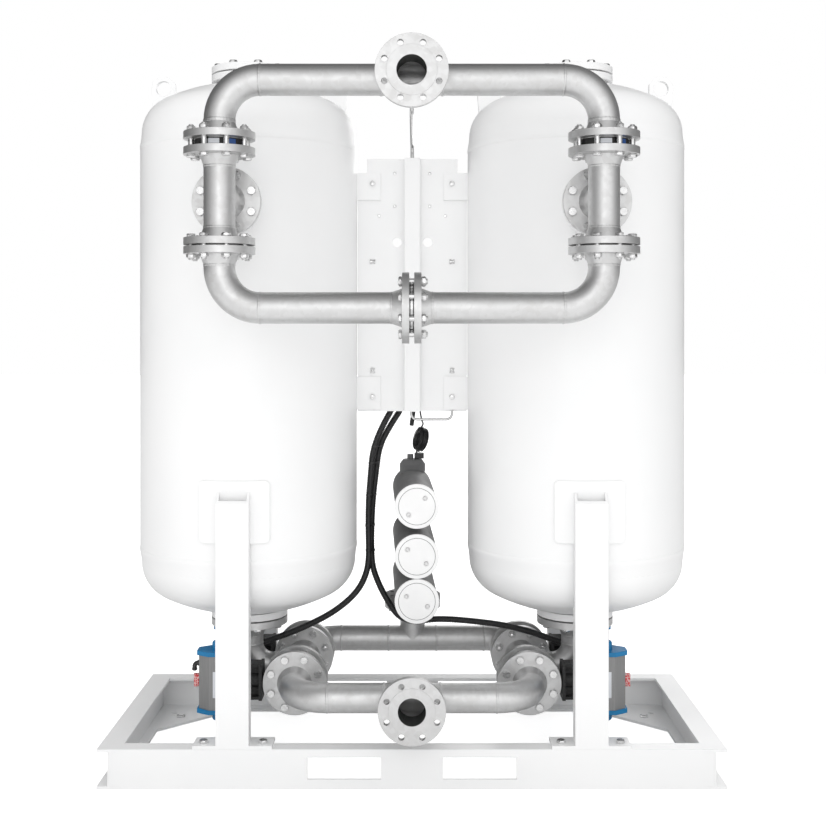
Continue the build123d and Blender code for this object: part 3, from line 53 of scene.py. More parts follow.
# Floor: its grey and glow for the camera, and for light, where only the floor in front glows
FLOOR_HALF = 30
FLOOR_LEVEL = -0.0005
SEEN_GREY = 0.86
SEEN_GLOW = 0.68
LIT_GREY = 0.75
FRONT_GLOW = 0.4
FRONT_GLOW_START = -0.65
FRONT_GLOW_FULL = -1.0

# Pipework, as in the model
PIPE_RADIUS = 0.04445
LONG_BEND = 0.1143
SHORT_BEND = 0.0762
TEE_REACH = 0.086
FLANGE_HEIGHT = 0.050
FITTING_REACH = TEE_REACH + FLANGE_HEIGHT
VESSEL_X = 0.540
VESSEL_RADIUS = 0.3555
LOWER_SEAM = 0.6646
UPPER_SEAM = 1.9746
MANIFOLD_Y = -0.619
NOZZLE_Z = 1.7526
RISER_FACE = 1.9126
OUTLET_Z = 2.0812
PURGE_FACE = 1.6116
PURGE_Z = 1.4408
ORIFICE_FACE = 0.007
VALVE_X = 0.371
VALVE_Y = 0.1605
LOW_Z = 0.262
HEADER_FACE = 0.185
HEADER_Y = 0.3493
REDUCER_TOP = 0.4082
REDUCER_CONE = 0.042
CHECK_VALVE_Z = 1.9006

# Welds. The vessel seam's pairs are the step out from the shell and the distance towards the head
BEAD_STEP = 0.0028
BEAD_HALF_WIDTH = 0.0042
BEAD_HEIGHT = 0.0016
BEAD_SINK = 0.0004
BEAD_SHARES = (-1, -0.6, 0, 0.6, 1)
BEAD_RIPPLE = 0.18
BEAD_RIPPLE_TURN = 1.9
BEAD_UNEVENNESS = 0.14
BEAD_DRIFT = 0.0003
SEAM_SIDES = 160
SEAM_PROFILE = [
    (-0.0005, -0.011),
    (0.0004, -0.0095),
    (0.0009, -0.004),
    (0.0007, 0.002),
    (-0.0004, 0.008),
    (-0.0022, 0.018),
    (-0.0039, 0.030),
    (-0.0052, 0.044),
    (-0.0062, 0.044),
]

# Bolts and nuts
HEX_SIDES = 36
HEX_RADIUS = 0.0136
HEX_CHAMFER = 0.0014
HEX_END = 0.96
END_TOLERANCE = 0.0002
BOLT_SEED = 7
NUT_SEED = 11
HEAD_HEIGHT = 0.010
SHANK_RADIUS = 0.008
SHANK_START = 0.009
SHANK_SIDES = 16
THREAD_LENGTH = 0.026
THREAD_SHARE = 0.45
THREAD_PITCH = 0.002
THREAD_POINTS = 4
THREAD_DEPTH = 0.0009
TIP_TAPER = 0.8
SMALL_HEAD_LIMIT = 0.011
SMALL_HEAD = [(0.0072, 0), (0.0088, 0.0008), (0.009, 0.002), (0.009, 0.006)]
SMALL_HEX_RADIUS = 0.009
SMALL_HEX_HEIGHT = 0.006
SMALL_HEX_CHAMFER = 0.001
SMALL_SHANK_RADIUS = 0.005

# Actuators, with the plate on each and the air fitting on one
ACTUATOR_END = 0.677
ACTUATOR_DEPTH = 0.092
ACTUATOR_PLATE_X = 0.6095
ACTUATOR_PLATE_Z = 0.258
ACTUATOR_PLATE_SIZE = (0.038, 0.0012, 0.082)
ACTUATOR_PLATE_EDGE = 0.0003
ELBOW_Z = 0.316
ELBOW_RADIUS = 0.0072
ELBOW_STEPS = 8
ELBOW_STEP = 0.002
ELBOW_REACH = 0.006
ELBOW_BEND = 0.011
ELBOW_DROP = 0.010
ELBOW_COLLAR = [(0.0095, -0.001), (0.0095, 0.006), (0.0075, 0.007)]
ELBOW_RELEASE = [(0.0085, -0.004), (0.0085, 0.001), (0.0055, 0.0035)]

# Silencers
DRUM_HEIGHTS = (0.494, 0.640, 0.803)
DRUM_FRONT = -0.080
STACK_TURN = math.radians(2)
COVER_THICK = 0.009
COVER_SCREW_RADIUS = 0.038
COVER_SCREW_ANGLES = (-26, -37, 45)
COVER_SCREW = [(0.0068, -0.001), (0.0068, 0.0016), (0.0058, 0.0026), (0.0036, 0.0026), (0.0033, 0.0008)]
POCKET_DEPTH = 0.004
GROOVE_RADIUS = 0.0598
GROOVE_CORD_HALF = 0.0008
GROOVE_CORD_HEIGHT = 0.0012
GROOVE_CORD_DEPTH = 0.0013

# Other small fittings
PANEL_SCREW_PLACES = ((0.058, 1.897), (0.058, 1.788), (0.110, 1.756))
PANEL_SCREW = [(0.0055, -0.001), (0.0055, 0.0012), (0.0042, 0.003), (0.0015, 0.0034)]
RIM_PLATE_HALF_ANGLE = 13
RIM_PLATE_STEPS = 8
RIM_PLATE_GAP = 0.0002
RIM_PLATE_THICK = 0.0008
RIM_PLATE_HALF_HEIGHT = 0.0068
SOCKET_TOP_X = 0.013
SOCKET_END = Vector((-0.003, 0.150, 1.046))
SOCKET_SINK = 0.002
SOCKET_STUB = 0.006
SOCKET_RADIUS = 0.0078
SOCKET_TIP = 0.005
SOCKET_LENGTH = 0.058
SOCKET_CHAMFER = 0.001
SOCKET_PLAIN = 0.004
SOCKET_RIBS = 9
SOCKET_RIB_PITCH = 0.006
SOCKET_RIB = [(SOCKET_RADIUS, 0.0), (0.0072, 0.0015), (0.0072, 0.003), (SOCKET_RADIUS, 0.0045)]
# The thin dark sleeves inside the inlet's and the outlet's bores are painted shade
SHADE_SLEEVE_INNER = 0.0408
SHADE_SLEEVE_OUTER = 0.0412
SHADE_SLEEVE_DEPTH = 0.088
SHADE_SLEEVE_SIDES = 64

# Conduits and their ties
CONDUIT_RADIUS = 0.011
CONDUIT_SIDES = 18
RIB_PITCH = 0.0057
RIB_DEPTH = 0.0017
RIB_WAVE = (0, 0.75, 1, 0.75)
TIE_HEIGHTS = (0.985, 0.93, 0.82, 0.72, 0.635)
TIE_SIDES = 40
TIE_HALF_WIDTH = 0.0024
TIE_THICK = 0.0013
TIE_END_GAP = 0.0004
TIE_SIDE_GAP = 0.0022
TIE_LOCK_REACH = 0.005
TIE_LOCK_SIZE = (0.006, 0.005, 0.005)
TIE_LOCK_EDGE = 0.0008

# Sensor cable, its sleeve and its tied coil. The sleeve starts and ends at these steps of the cable
CABLE_RADIUS = 0.003
CABLE_STEP = 0.002
SLEEVE_START = 6
SLEEVE_END = 34
SLEEVE_STEP = 0.0015
SLEEVE_RADIUS = 0.0088
SLEEVE_GROOVE = 0.0081
SLEEVE_RIB_POINTS = 4
SLEEVE_SIDES = 16
SENSOR = Vector((0.015, 0.3493, 0.932))
COIL_CENTRE = Vector((0.0292, 0.3106, 0.9835))
COIL_TURN = math.radians(22)
COIL_LEAN = math.radians(15)
COIL_RADIUS = 0.035
COIL_STEP = 0.0068
COIL_ROWS = (1, 0, -1)
COIL_LAYERS = (-1.5, -0.5, 0.5, 1.5)
COIL_LAST_TURN = 0.25
COIL_SEED = 4
COIL_UNEVENNESS = 0.0003
POINTS_PER_TURN = 12
COIL_TIE_TURNS = (0.06, 0.56)
COIL_TIE_HALF_LENGTH = 0.0138
COIL_TIE_HALF_DEPTH = 0.0104
COIL_TIE_HALF_WIDTH = 0.0022
COIL_TIE_THICK = 0.0012
TAIL_START_OUT = 0.011
TAIL_START_ALONG = -0.010
TAIL_STEP = 0.004
TAIL_HALF_WIDTH = 0.0013
TAIL_SHAPE = ((-1, -0.4), (1, -0.4), (1, 0.4), (-1, 0.4))

# Routes from the cabinet's glands, in millimetres
LEFT_CONDUIT = [
    (-62, 58, 1165),
    (-62, 58, 1120),
    (-98, 56, 1060),
    (-133, 53, 975),
    (-140, 50, 890),
    (-147, 49, 804),
    (-148, 50, 700),
    (-145, 51, 620),
    (-154, 55, 553),
    (-190, 62, 486),
    (-268, 71, 420),
    (-368, 82, 368),
    (-452, 85, 335),
    (-520, 82.5, 313),
    (-579, 82.5, 313),
]
RIGHT_CONDUIT = [
    (-30, 84, 1165),
    (-30, 84, 1120),
    (-72, 80, 1058),
    (-112, 77, 985),
    (-124, 75, 890),
    (-134, 74, 804),
    (-138, 73, 720),
    (-139, 72, 640),
    (-135, 70, 575),
    (-112, 66, 515),
    (-80, 62, 456),
    (-46, 60, 408),
    (6, 58, 392),
    (66, 58, 402),
    (130, 60, 401),
    (215, 66, 392),
    (320, 76, 376),
    (410, 83, 350),
    (470, 85, 328),
    (522, 82.5, 313),
    (579, 82.5, 313),
]
CABLE_START = [
    (24, 150, 1165),
    (24, 150, 1131),
    (26, 158, 1100),
    (30, 186, 1074),
    (34, 222, 1056),
    (39, 256, 1044),
]

# The pale tail's line from its tie, in millimetres
TIE_TAIL = [(0, 0, 0), (-12, -4, -16), (-24, -8, -45)]

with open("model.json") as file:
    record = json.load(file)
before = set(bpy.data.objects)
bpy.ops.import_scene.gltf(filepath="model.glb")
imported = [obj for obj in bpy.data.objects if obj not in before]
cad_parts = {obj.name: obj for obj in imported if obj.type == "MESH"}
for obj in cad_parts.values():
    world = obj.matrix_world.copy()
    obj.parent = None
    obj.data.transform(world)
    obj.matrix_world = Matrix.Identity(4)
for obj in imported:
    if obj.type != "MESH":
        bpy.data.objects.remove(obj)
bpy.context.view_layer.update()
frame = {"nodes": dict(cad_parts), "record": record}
nodes = frame["nodes"]


# Camera, lights and floor
def link(obj):
    bpy.context.scene.collection.objects.link(obj)
    return obj


def add_camera():
    data = bpy.data.cameras.new("camera")
    data.lens = CAMERA_LENS
    data.shift_x = CAMERA_SHIFT_X
    data.shift_y = CAMERA_SHIFT_Y
    camera = link(bpy.data.objects.new("camera", data))
    camera.location = CAMERA_PLACE
    camera.rotation_euler = (math.radians(90), 0, 0)
    bpy.context.scene.camera = camera


def add_softbox(name, place, target, width, height, power):
    """A rectangular lamp that faces its target."""
    data = bpy.data.lights.new(name, "AREA")
    data.shape = "RECTANGLE"
    data.size = width
    data.size_y = height
    data.energy = power
    light = link(bpy.data.objects.new(name, data))
    light.location = place
    light.rotation_euler = (Vector(target) - Vector(place)).to_track_quat("-Z", "Y").to_euler()


class Graph:
    """A short way to write a node tree."""

    def __init__(self, tree):
        self.tree = tree
        tree.nodes.clear()

    def add(self, kind, settings=None, **inputs):
        """Adds a node. An input is a value or another node's output, under its socket's name or _number."""
        node = self.tree.nodes.new("ShaderNode" + kind)
        for key, value in (settings or {}).items():
            setattr(node, key, value)
        for key, value in inputs.items():
            socket = node.inputs[int(key[1:])] if key[0] == "_" else node.inputs[key.replace("_", " ")]
            if isinstance(value, bpy.types.NodeSocket):
                self.tree.links.new(value, socket)
            else:
                socket.default_value = value
        return node

    def ramp(self, factor, stops):
        """A colour ramp. A stop's colour is a grey level or four numbers."""
        node = self.add("ValToRGB", Fac=factor)
        elements = node.color_ramp.elements
        while len(elements) < len(stops):
            elements.new(0.5)
        for element, (position, color) in zip(elements, stops):
            element.position = position
            element.color = color if hasattr(color, "__len__") else (color, color, color, 1)
        return node.outputs["Color"]

    def map(self, value, low, high, out_low, out_high, smooth=False):
        node = self.add("MapRange", {"interpolation_type": "SMOOTHSTEP" if smooth else "LINEAR"}, Value=value)
        for key, number in (("From Min", low), ("From Max", high), ("To Min", out_low), ("To Max", out_high)):
            node.inputs[key].default_value = number
        return node.outputs["Result"]

    def math(self, operation, first, second):
        return self.add("Math", {"operation": operation}, _0=first, _1=second).outputs[0]


def add_world():
    """A studio: bright in front, dimmer at the sides, above and behind, and plain white in the background."""
    world = bpy.data.worlds.new("studio")
    world.use_nodes = True
    bpy.context.scene.world = world
    graph = Graph(world.node_tree)
    direction = graph.add("TexCoord").outputs["Generated"]
    parts = graph.add("SeparateXYZ", Vector=direction)
    front = graph.map(parts.outputs["Y"], 1.0, -1.0, 0.0, 1.0)
    ceiling = graph.map(parts.outputs["Z"], 0.0, 1.0, 0.0, CEILING_LIGHT)
    level = graph.math("ADD", graph.ramp(front, FRONT_LIGHT), ceiling)
    light = graph.add("Background", Color=level, Strength=LIGHT_STRENGTH)
    sideways = graph.map(parts.outputs["X"], -SHINE_EDGE, SHINE_EDGE, SHINE_LEFT, SHINE_RIGHT)
    strength = graph.math("MULTIPLY", sideways, SHINE_STRENGTH)
    shine = graph.add("Background", Color=graph.ramp(front, FRONT_SHINE), Strength=strength)
    white = graph.add("Background", Color=(1, 1, 1, 1), Strength=1.0)
    rays = graph.add("LightPath")
    reflected = rays.outputs["Is Glossy Ray"]
    lit = graph.add("MixShader", Fac=reflected, _1=light.outputs[0], _2=shine.outputs[0])
    mix = graph.add("MixShader", Fac=rays.outputs["Is Camera Ray"], _1=lit.outputs[0], _2=white.outputs[0])
    graph.add("OutputWorld", Surface=mix.outputs[0])


def glowing_grey(graph, level, glow):
    """A matte grey that gives off light of its own."""
    matte = graph.add("BsdfDiffuse", Color=(level, level, level, 1))
    light = graph.add("Emission", Color=(1, 1, 1, 1), Strength=glow)
    return graph.add("AddShader", _0=matte.outputs[0], _1=light.outputs[0]).outputs[0]


def add_floor():
    """A floor that looks white. Metal reflects it brighter in front of the dryer than close under it."""
    mesh = bpy.data.meshes.new("floor")
    half = FLOOR_HALF
    corners = [(-half, -half), (half, -half), (half, half), (-half, half)]
    mesh.from_pydata([(x, y, FLOOR_LEVEL) for x, y in corners], [], [(0, 1, 2, 3)])
    floor = link(bpy.data.objects.new("floor", mesh))
    material = bpy.data.materials.new("floor")
    material.use_nodes = True
    graph = Graph(material.node_tree)
    seen = glowing_grey(graph, SEEN_GREY, SEEN_GLOW)
    place = graph.add("SeparateXYZ", Vector=graph.add("TexCoord").outputs["Object"])
    glow = graph.map(place.outputs["Y"], FRONT_GLOW_START, FRONT_GLOW_FULL, 0.0, FRONT_GLOW, smooth=True)
    lit = glowing_grey(graph, LIT_GREY, glow)
    mix = graph.add("MixShader", Fac=graph.add("LightPath").outputs["Is Camera Ray"], _1=lit, _2=seen)
    graph.add("OutputMaterial", Surface=mix.outputs[0])
    mesh.materials.append(material)


add_camera()
add_world()
add_floor()
add_softbox("front_softbox", place=(-0.3, -4.6, 2.1), target=(0, 0, 1.1), width=1.6, height=2.4, power=12)
add_softbox("rear_softbox", place=(1.2, 4.6, 2.4), target=(0, 0, 1.1), width=2.6, height=2.6, power=40)
bpy.context.scene.view_settings.view_transform = "Standard"


# Finishes
def surface(name, color, roughness, metallic=0.0, coat=0.0):
    """A material with its principled shader, ready for more nodes."""
    material = bpy.data.materials.new(name)
    material.use_nodes = True
    graph = Graph(material.node_tree)
    shader = graph.add("BsdfPrincipled")
    shader.inputs["Base Color"].default_value = (*color, 1)
    shader.inputs["Roughness"].default_value = roughness
    shader.inputs["Metallic"].default_value = metallic
    shader.inputs["Coat Weight"].default_value = coat
    shader.inputs["Coat Roughness"].default_value = 0.15
    shader.inputs["IOR"].default_value = 1.5
    graph.add("OutputMaterial", Surface=shader.outputs[0])
    graph.shader = shader
    graph.place = graph.add("TexCoord").outputs["Object"]
    return material, graph


def noise(graph, scale, detail, roughness=0.55, place=None):
    node = graph.add("TexNoise", Vector=place or graph.place, Scale=scale, Detail=detail, Roughness=roughness)
    return node.outputs[0]


def tint(graph, factor, stops):
    """Varies the shader's colour along a ramp."""
    graph.tree.links.new(graph.ramp(factor, stops), graph.shader.inputs["Base Color"])


def vary_roughness(graph, factor, start, end):
    """Varies the roughness from start to end over the middle of the factor's range."""
    graph.tree.links.new(graph.map(factor, 0.3, 0.7, start, end), graph.shader.inputs["Roughness"])


def relief(graph, height, strength, distance, edge=0.0):
    """Bump on the surface. An edge above zero also rounds the sharp edges by that radius."""
    bump = graph.add("Bump", Height=height, Strength=strength, Distance=distance)
    if edge:
        rounded = graph.add("Bevel", {"samples": 4}, Radius=edge)
        graph.tree.links.new(rounded.outputs[0], bump.inputs["Normal"])
    graph.tree.links.new(bump.outputs[0], graph.shader.inputs["Normal"])


def rgb(level, warm=0.0):
    """A grey. Warm is the share by which red is raised and blue lowered."""
    return (level * (1 + warm), level, level * (1 - warm), 1)


def white_paint():
    """Satin powder coating: a fine orange peel, and a trace of cloudiness."""
    material, graph = surface("white_paint", (0.9, 0.9, 0.9), 0.36, coat=0.15)
    clouds = noise(graph, scale=2.5, detail=3)
    tint(graph, clouds, [(0.3, (0.885, 0.888, 0.89, 1)), (0.7, (0.91, 0.91, 0.91, 1))])
    vary_roughness(graph, noise(graph, scale=9, detail=2), 0.32, 0.42)
    relief(graph, noise(graph, scale=620, detail=1), strength=0.12, distance=0.0004, edge=0.0015)
    return material


def galvanised(low, high):
    """Hot-dip zinc: crystals among larger patches, both a little lighter or darker than the rest."""
    material, graph = surface("galvanised_steel", (0.6, 0.6, 0.6), 0.35, metallic=1.0)
    crystals = graph.add("TexVoronoi", {"feature": "F1"}, Vector=graph.place, Scale=75.0, Randomness=1.0)
    grain = graph.add("SeparateColor", Color=crystals.outputs["Color"]).outputs[0]
    patches = noise(graph, scale=11, detail=5, roughness=0.6)
    mixed = graph.math("ADD", graph.math("MULTIPLY", grain, 0.3), graph.math("MULTIPLY", patches, 0.7))
    tint(graph, mixed, [(0.25, rgb(low, 0.005)), (0.5, rgb((low + high) / 2)), (0.75, rgb(high))])
    vary_roughness(graph, mixed, 0.5, 0.42)
    fine = noise(graph, scale=260, detail=3)
    relief(graph, graph.math("ADD", fine, patches), strength=0.1, distance=0.0004, edge=0.001)
    return material


def machined(name, level, roughness):
    """Bright plated or drawn metal with faint scratches."""
    material, graph = surface(name, (level, level, level), roughness, metallic=1.0)
    stretched = graph.add("Mapping", Vector=graph.place, Scale=(40, 40, 900)).outputs[0]
    lines = noise(graph, scale=1.0, detail=3, roughness=0.6, place=stretched)
    tint(graph, noise(graph, scale=60, detail=3), [(0.3, rgb(level * 0.82)), (0.7, rgb(level))])
    vary_roughness(graph, lines, roughness * 0.8, roughness * 1.3)
    relief(graph, lines, strength=0.08, distance=0.0003, edge=0.0006)
    return material


def cast_black():
    """A rough black coated casting with lighter rubbed grains."""
    material, graph = surface("black_casting", (0.018, 0.018, 0.019), 0.5)
    lumps = noise(graph, scale=160, detail=4, roughness=0.7)
    tint(graph, lumps, [(0.35, rgb(0.010)), (0.62, rgb(0.026)), (0.78, rgb(0.07))])
    vary_roughness(graph, lumps, 0.42, 0.62)
    relief(graph, lumps, strength=0.8, distance=0.0022, edge=0.002)
    return material


def anodised():
    """Extruded and anodised cylinder bodies, with fine drawn lines along the extrusion."""
    material, graph = surface("anodised_body", (0.28, 0.28, 0.285), 0.45, metallic=0.55)
    stretched = graph.add("Mapping", Vector=graph.place, Scale=(900, 900, 12)).outputs[0]
    lines = noise(graph, scale=1.0, detail=2, roughness=0.5, place=stretched)
    tint(graph, lines, [(0.3, rgb(0.25)), (0.7, rgb(0.31))])
    vary_roughness(graph, lines, 0.4, 0.52)
    relief(graph, lines, strength=0.1, distance=0.0003, edge=0.0012)
    return material


def plain_coat(name, color, roughness, coat=0.0, grain=300, strength=0.15, spread=0.06):
    """Paint or moulded plastic with a fine grain and slight unevenness."""
    material, graph = surface(name, color, roughness, coat=coat)
    darker = tuple(v * (1 - spread) for v in color)
    lighter = tuple(min(1, v * (1 + spread)) for v in color)
    tint(graph, noise(graph, scale=14, detail=4), [(0.3, (*darker, 1)), (0.7, (*lighter, 1))])
    vary_roughness(graph, noise(graph, scale=30, detail=3), roughness * 0.9, roughness * 1.12)
    relief(graph, noise(graph, scale=grain, detail=2), strength=strength, distance=0.0005, edge=0.001)
    return material


def beacon():
    """The indicator's red plastic, with paler seams between its moulded cells."""
    material, graph = surface("red_indicator", (0.6, 0.03, 0.04), 0.3, coat=0.3)
    cells = graph.add("TexVoronoi", {"feature": "DISTANCE_TO_EDGE"}, Vector=graph.place, Scale=110.0)
    tint(
        graph,
        cells.outputs["Distance"],
        [(0.04, (0.75, 0.55, 0.53, 1)), (0.12, (0.62, 0.05, 0.06, 1)), (0.5, (0.45, 0.015, 0.02, 1))],
    )
    relief(graph, cells.outputs["Distance"], strength=0.4, distance=0.001, edge=0.001)
    return material


def beads():
    """Loose white desiccant beads, seen only when the bed is opened. Each bead is pale in its middle and
    darker towards its rim: painted shade between the beads.
    """
    material, graph = surface("desiccant", (0.85, 0.83, 0.78), 0.7)
    cells = graph.add("TexVoronoi", {"feature": "F1"}, Vector=graph.place, Scale=260.0)
    # Painted shade: each cell darkens from its middle to its edge, where the beads meet
    tint(graph, cells.outputs["Distance"], [(0.0, (0.9, 0.88, 0.84, 1)), (0.8, (0.4, 0.38, 0.35, 1))])
    relief(graph, graph.math("MULTIPLY", cells.outputs["Distance"], -1.0), strength=0.8, distance=0.003)
    return material


FINISHES = {
    "white_paint": white_paint(),
    "galvanised_steel": galvanised(0.62, 0.68),
    "zinc_plate": machined("zinc_plate", 0.78, 0.26),
    "stainless_steel": machined("stainless_steel", 0.66, 0.22),
    "black_casting": cast_black(),
    "grey_aluminium": anodised(),
    "blue_cap": plain_coat("blue_cap", (0.002, 0.19, 0.43), 0.45, grain=420, strength=0.12),
    "red_indicator": beacon(),
    "grey_paint": plain_coat("grey_paint", (0.2, 0.2, 0.202), 0.55),
    "white_plastic": plain_coat("white_plastic", (0.93, 0.93, 0.93), 0.4, spread=0.02),
    "black_rubber": plain_coat("black_rubber", (0.016, 0.016, 0.016), 0.55),
    "black_plastic": plain_coat("black_plastic", (0.014, 0.014, 0.015), 0.3, coat=0.3, grain=700),
    "desiccant": beads(),
    "module_grey": plain_coat("module_grey", (0.2, 0.21, 0.22), 0.5),
}
# A near-black grey for the sleeves in the bores: painted shade
BORE_SHADE_GREY = plain_coat("painted_bore_shade", (0.055, 0.058, 0.055), 0.5, spread=0.3)
BARE_PLATE = plain_coat("bare_plate", (0.72, 0.74, 0.78), 0.3, spread=0.03)
BLUE_PLATE = plain_coat("blue_plate", (0.03, 0.10, 0.33), 0.35, spread=0.05)
NATURAL = plain_coat("natural_nylon", (0.75, 0.74, 0.72), 0.45, spread=0.05)


def finish_nodes():
    """Gives each node of the model the finish of its own material slot."""
    for part in frame["record"]["subparts"]:
        mesh = nodes[part["node"]].data
        for index in range(len(mesh.materials)):
            mesh.materials[index] = FINISHES[part["material_slot"]]


finish_nodes()


# Mesh building
def make_piece(name, bm, slot, material=None, angle=40):
    """Turns a bmesh into a finished piece on the fixed body. Edges sharper than the angle stay sharp."""
    mesh = bpy.data.meshes.new(name)
    bmesh.ops.recalc_face_normals(bm, faces=bm.faces)
    bm.to_mesh(mesh)
    bm.free()
    mesh.materials.append(material or FINISHES[slot])
    mesh.shade_smooth()
    mesh.set_sharp_from_angle(angle=math.radians(angle))
    piece = link(bpy.data.objects.new(name, mesh))
    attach(piece, "root")
    return piece


def along(direction, origin=(0, 0, 0), turn=0.0):
    """The place whose Z points along direction."""
    turned = Vector(direction).to_track_quat("Z", "Y").to_matrix().to_4x4()
    return Matrix.Translation(origin) @ turned @ Matrix.Rotation(turn, 4, "Z")


def turns(sides):
    """The angles of a full circle's corners."""
    return [2 * math.pi * number / sides for number in range(sides)]


def heading(turn):
    return Vector((math.cos(turn), math.sin(turn), 0))


def round_point(place, turn, radius, height):
    """A point at an angle, a radius and a height about the place's Z."""
    return place @ Vector((radius * math.cos(turn), radius * math.sin(turn), height))


def unit(axis, sign=1):
    """The direction along axis 0, 1 or 2."""
    direction = Vector((0, 0, 0))
    direction[axis] = sign
    return direction


def add_skin(bm, rings, closed=False):
    """Faces between rings of equal length. Closed also joins the last ring to the first."""
    pairs = list(zip(rings, rings[1:]))
    if closed:
        pairs.append((rings[-1], rings[0]))
    for low, high in pairs:
        count = len(low)
        for number in range(count):
            after = (number + 1) % count
            bm.faces.new((low[number], low[after], high[after], high[number]))


def add_solid(bm, rings):
    """Faces between rings, and over the first and the last one."""
    add_skin(bm, rings)
    bm.faces.new(rings[0][::-1])
    bm.faces.new(rings[-1])


def add_lathe(bm, place, profile, sides):
    """A solid of revolution about the place's Z, from (radius, height) pairs."""
    rings = []
    for radius, height in profile:
        rings.append([bm.verts.new(round_point(place, turn, radius, height)) for turn in turns(sides)])
    add_solid(bm, rings)


def add_hoop(bm, place, profile, sides):
    """A closed ring round the place's Z, from the (radius, height) pairs of its section."""
    rings = []
    for turn in turns(sides):
        out = heading(turn)
        points = [place @ (out * radius + Vector((0, 0, height))) for radius, height in profile]
        rings.append([bm.verts.new(point) for point in points])
    add_skin(bm, rings, closed=True)


def add_block(bm, place, size, edge):
    """A box with rounded edges, centred on the place."""
    made = bmesh.ops.create_cube(bm, size=1, matrix=place @ Matrix.Diagonal((*size, 1)))
    edges = list(dict.fromkeys(e for v in made["verts"] for e in v.link_edges))
    bmesh.ops.bevel(bm, geom=edges, offset=edge, segments=2, affect="EDGES", profile=0.6)


def add_band(bm, centre, axis, across, up, half_width, thick):
    """A flat band round an oval, such as a cable tie round two conduits."""
    rings = []
    for turn in turns(TIE_SIDES):
        out = across * math.cos(turn) + up * math.sin(turn)
        outward = out.normalized()
        ring = []
        for shift, lift in ((-1, 0), (1, 0), (1, thick), (-1, thick)):
            ring.append(bm.verts.new(centre + out + axis * half_width * shift + outward * lift))
        rings.append(ring)
    add_skin(bm, rings, closed=True)


def carried_frames(points):
    """Two directions across the line at each point, carried along it without twisting."""
    tangents = []
    for number in range(len(points)):
        before = points[max(number - 1, 0)]
        after = points[min(number + 1, len(points) - 1)]
        tangents.append((after - before).normalized())
    side = tangents[0].orthogonal().normalized()
    frames = []
    for tangent in tangents:
        side = (side - tangent * side.dot(tangent)).normalized()
        frames.append((side, tangent.cross(side)))
    return frames


def add_sweep(bm, points, outline, scale_at):
    """A solid with one outline, swept along points and scaled at each point's number."""
    rings = []
    for number, (point, (side, other)) in enumerate(zip(points, carried_frames(points))):
        scale = scale_at(number)
        rings.append([bm.verts.new(point + scale * (side * a + other * b)) for a, b in outline])
    add_solid(bm, rings)


def circle(sides):
    return [(math.cos(turn), math.sin(turn)) for turn in turns(sides)]


# Cords
def metres(points):
    return [Vector(point) / 1000 for point in points]


def route_curve(name, points, radius):
    """A smooth curve with the route's points as its control points."""
    curve = bpy.data.curves.new(name, "CURVE")
    curve.dimensions = "3D"
    curve.resolution_u = 10
    curve.bevel_depth = radius
    curve.bevel_resolution = 3
    curve.use_fill_caps = True
    spline = curve.splines.new("NURBS")
    spline.points.add(len(points) - 1)
    for point, place in zip(spline.points, points):
        point.co = (*place, 1)
    spline.order_u = 3
    spline.use_endpoint_u = True
    return link(bpy.data.objects.new(name, curve))


def smooth_line(points, step):
    """Even points along the route's smooth line, and the line's length."""
    guide = route_curve("guide", points, 0)
    mesh = bpy.data.meshes.new_from_object(guide)
    line = [v.co.copy() for v in mesh.vertices]
    bpy.data.meshes.remove(mesh)
    bpy.data.objects.remove(guide)
    return evenly(line, step)


def evenly(line, step):
    """Points along a line, about one step apart, with its first and last points kept, and its length."""
    lengths = [0.0]
    for before, after in zip(line, line[1:]):
        lengths.append(lengths[-1] + (after - before).length)
    count = max(2, round(lengths[-1] / step))
    points = []
    index = 0
    for number in range(count + 1):
        wanted = lengths[-1] * number / count
        while index < len(line) - 2 and lengths[index + 1] < wanted:
            index += 1
        span = lengths[index + 1] - lengths[index]
        points.append(line[index].lerp(line[index + 1], (wanted - lengths[index]) / span if span else 0))
    return points, lengths[-1]


def conduit(name, route):
    """A corrugated conduit: a rib every few millimetres along its route's smooth line."""
    points = metres(route)
    line, length = smooth_line(points, RIB_PITCH / len(RIB_WAVE))

    def radius_at(number):
        return CONDUIT_RADIUS - RIB_DEPTH * (1 - RIB_WAVE[number % len(RIB_WAVE)])

    bm = bmesh.new()
    add_sweep(bm, line, circle(CONDUIT_SIDES), radius_at)
    piece = make_piece(name, bm, "black_plastic", angle=80)
    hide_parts(name.removesuffix("_skin"))
    return line


def coil_axes():
    """The coil's own directions: away from the viewer, upwards and along its axis."""
    turned = Matrix.Rotation(COIL_LEAN, 3, "Y") @ Matrix.Rotation(COIL_TURN, 3, "Z")
    return turned @ Vector((0, 1, 0)), turned @ Vector((0, 0, 1)), turned @ Vector((1, 0, 0))


def coil_place(turn, radial, axial):
    """A point of the coil. Turn 0 is its top, and the turns run away from the viewer, then down."""
    angle = 2 * math.pi * turn
    away, up, axis = coil_axes()
    radius = COIL_RADIUS + radial
    return COIL_CENTRE + radius * (away * math.sin(angle) + up * math.cos(angle)) + axis * axial


def coil_points():
    """Four flat spirals side by side, wound inwards and outwards by turns, so both ends are outside."""
    stations = []
    for number, axial in enumerate(COIL_LAYERS):
        for row in COIL_ROWS if number % 2 == 0 else COIL_ROWS[::-1]:
            stations.append((row * COIL_STEP, axial * COIL_STEP))
    random.seed(COIL_SEED)
    points = []
    count = round((len(stations) - 1 + COIL_LAST_TURN) * POINTS_PER_TURN)
    for number in range(count + 1):
        turn = number / POINTS_PER_TURN
        index = min(int(turn), len(stations) - 2)
        share = min(turn - index, 1)
        radial, axial = (a + (b - a) * share for a, b in zip(stations[index], stations[index + 1]))
        points.append(coil_place(turn, radial + random.uniform(-1, 1) * COIL_UNEVENNESS, axial))
    return points


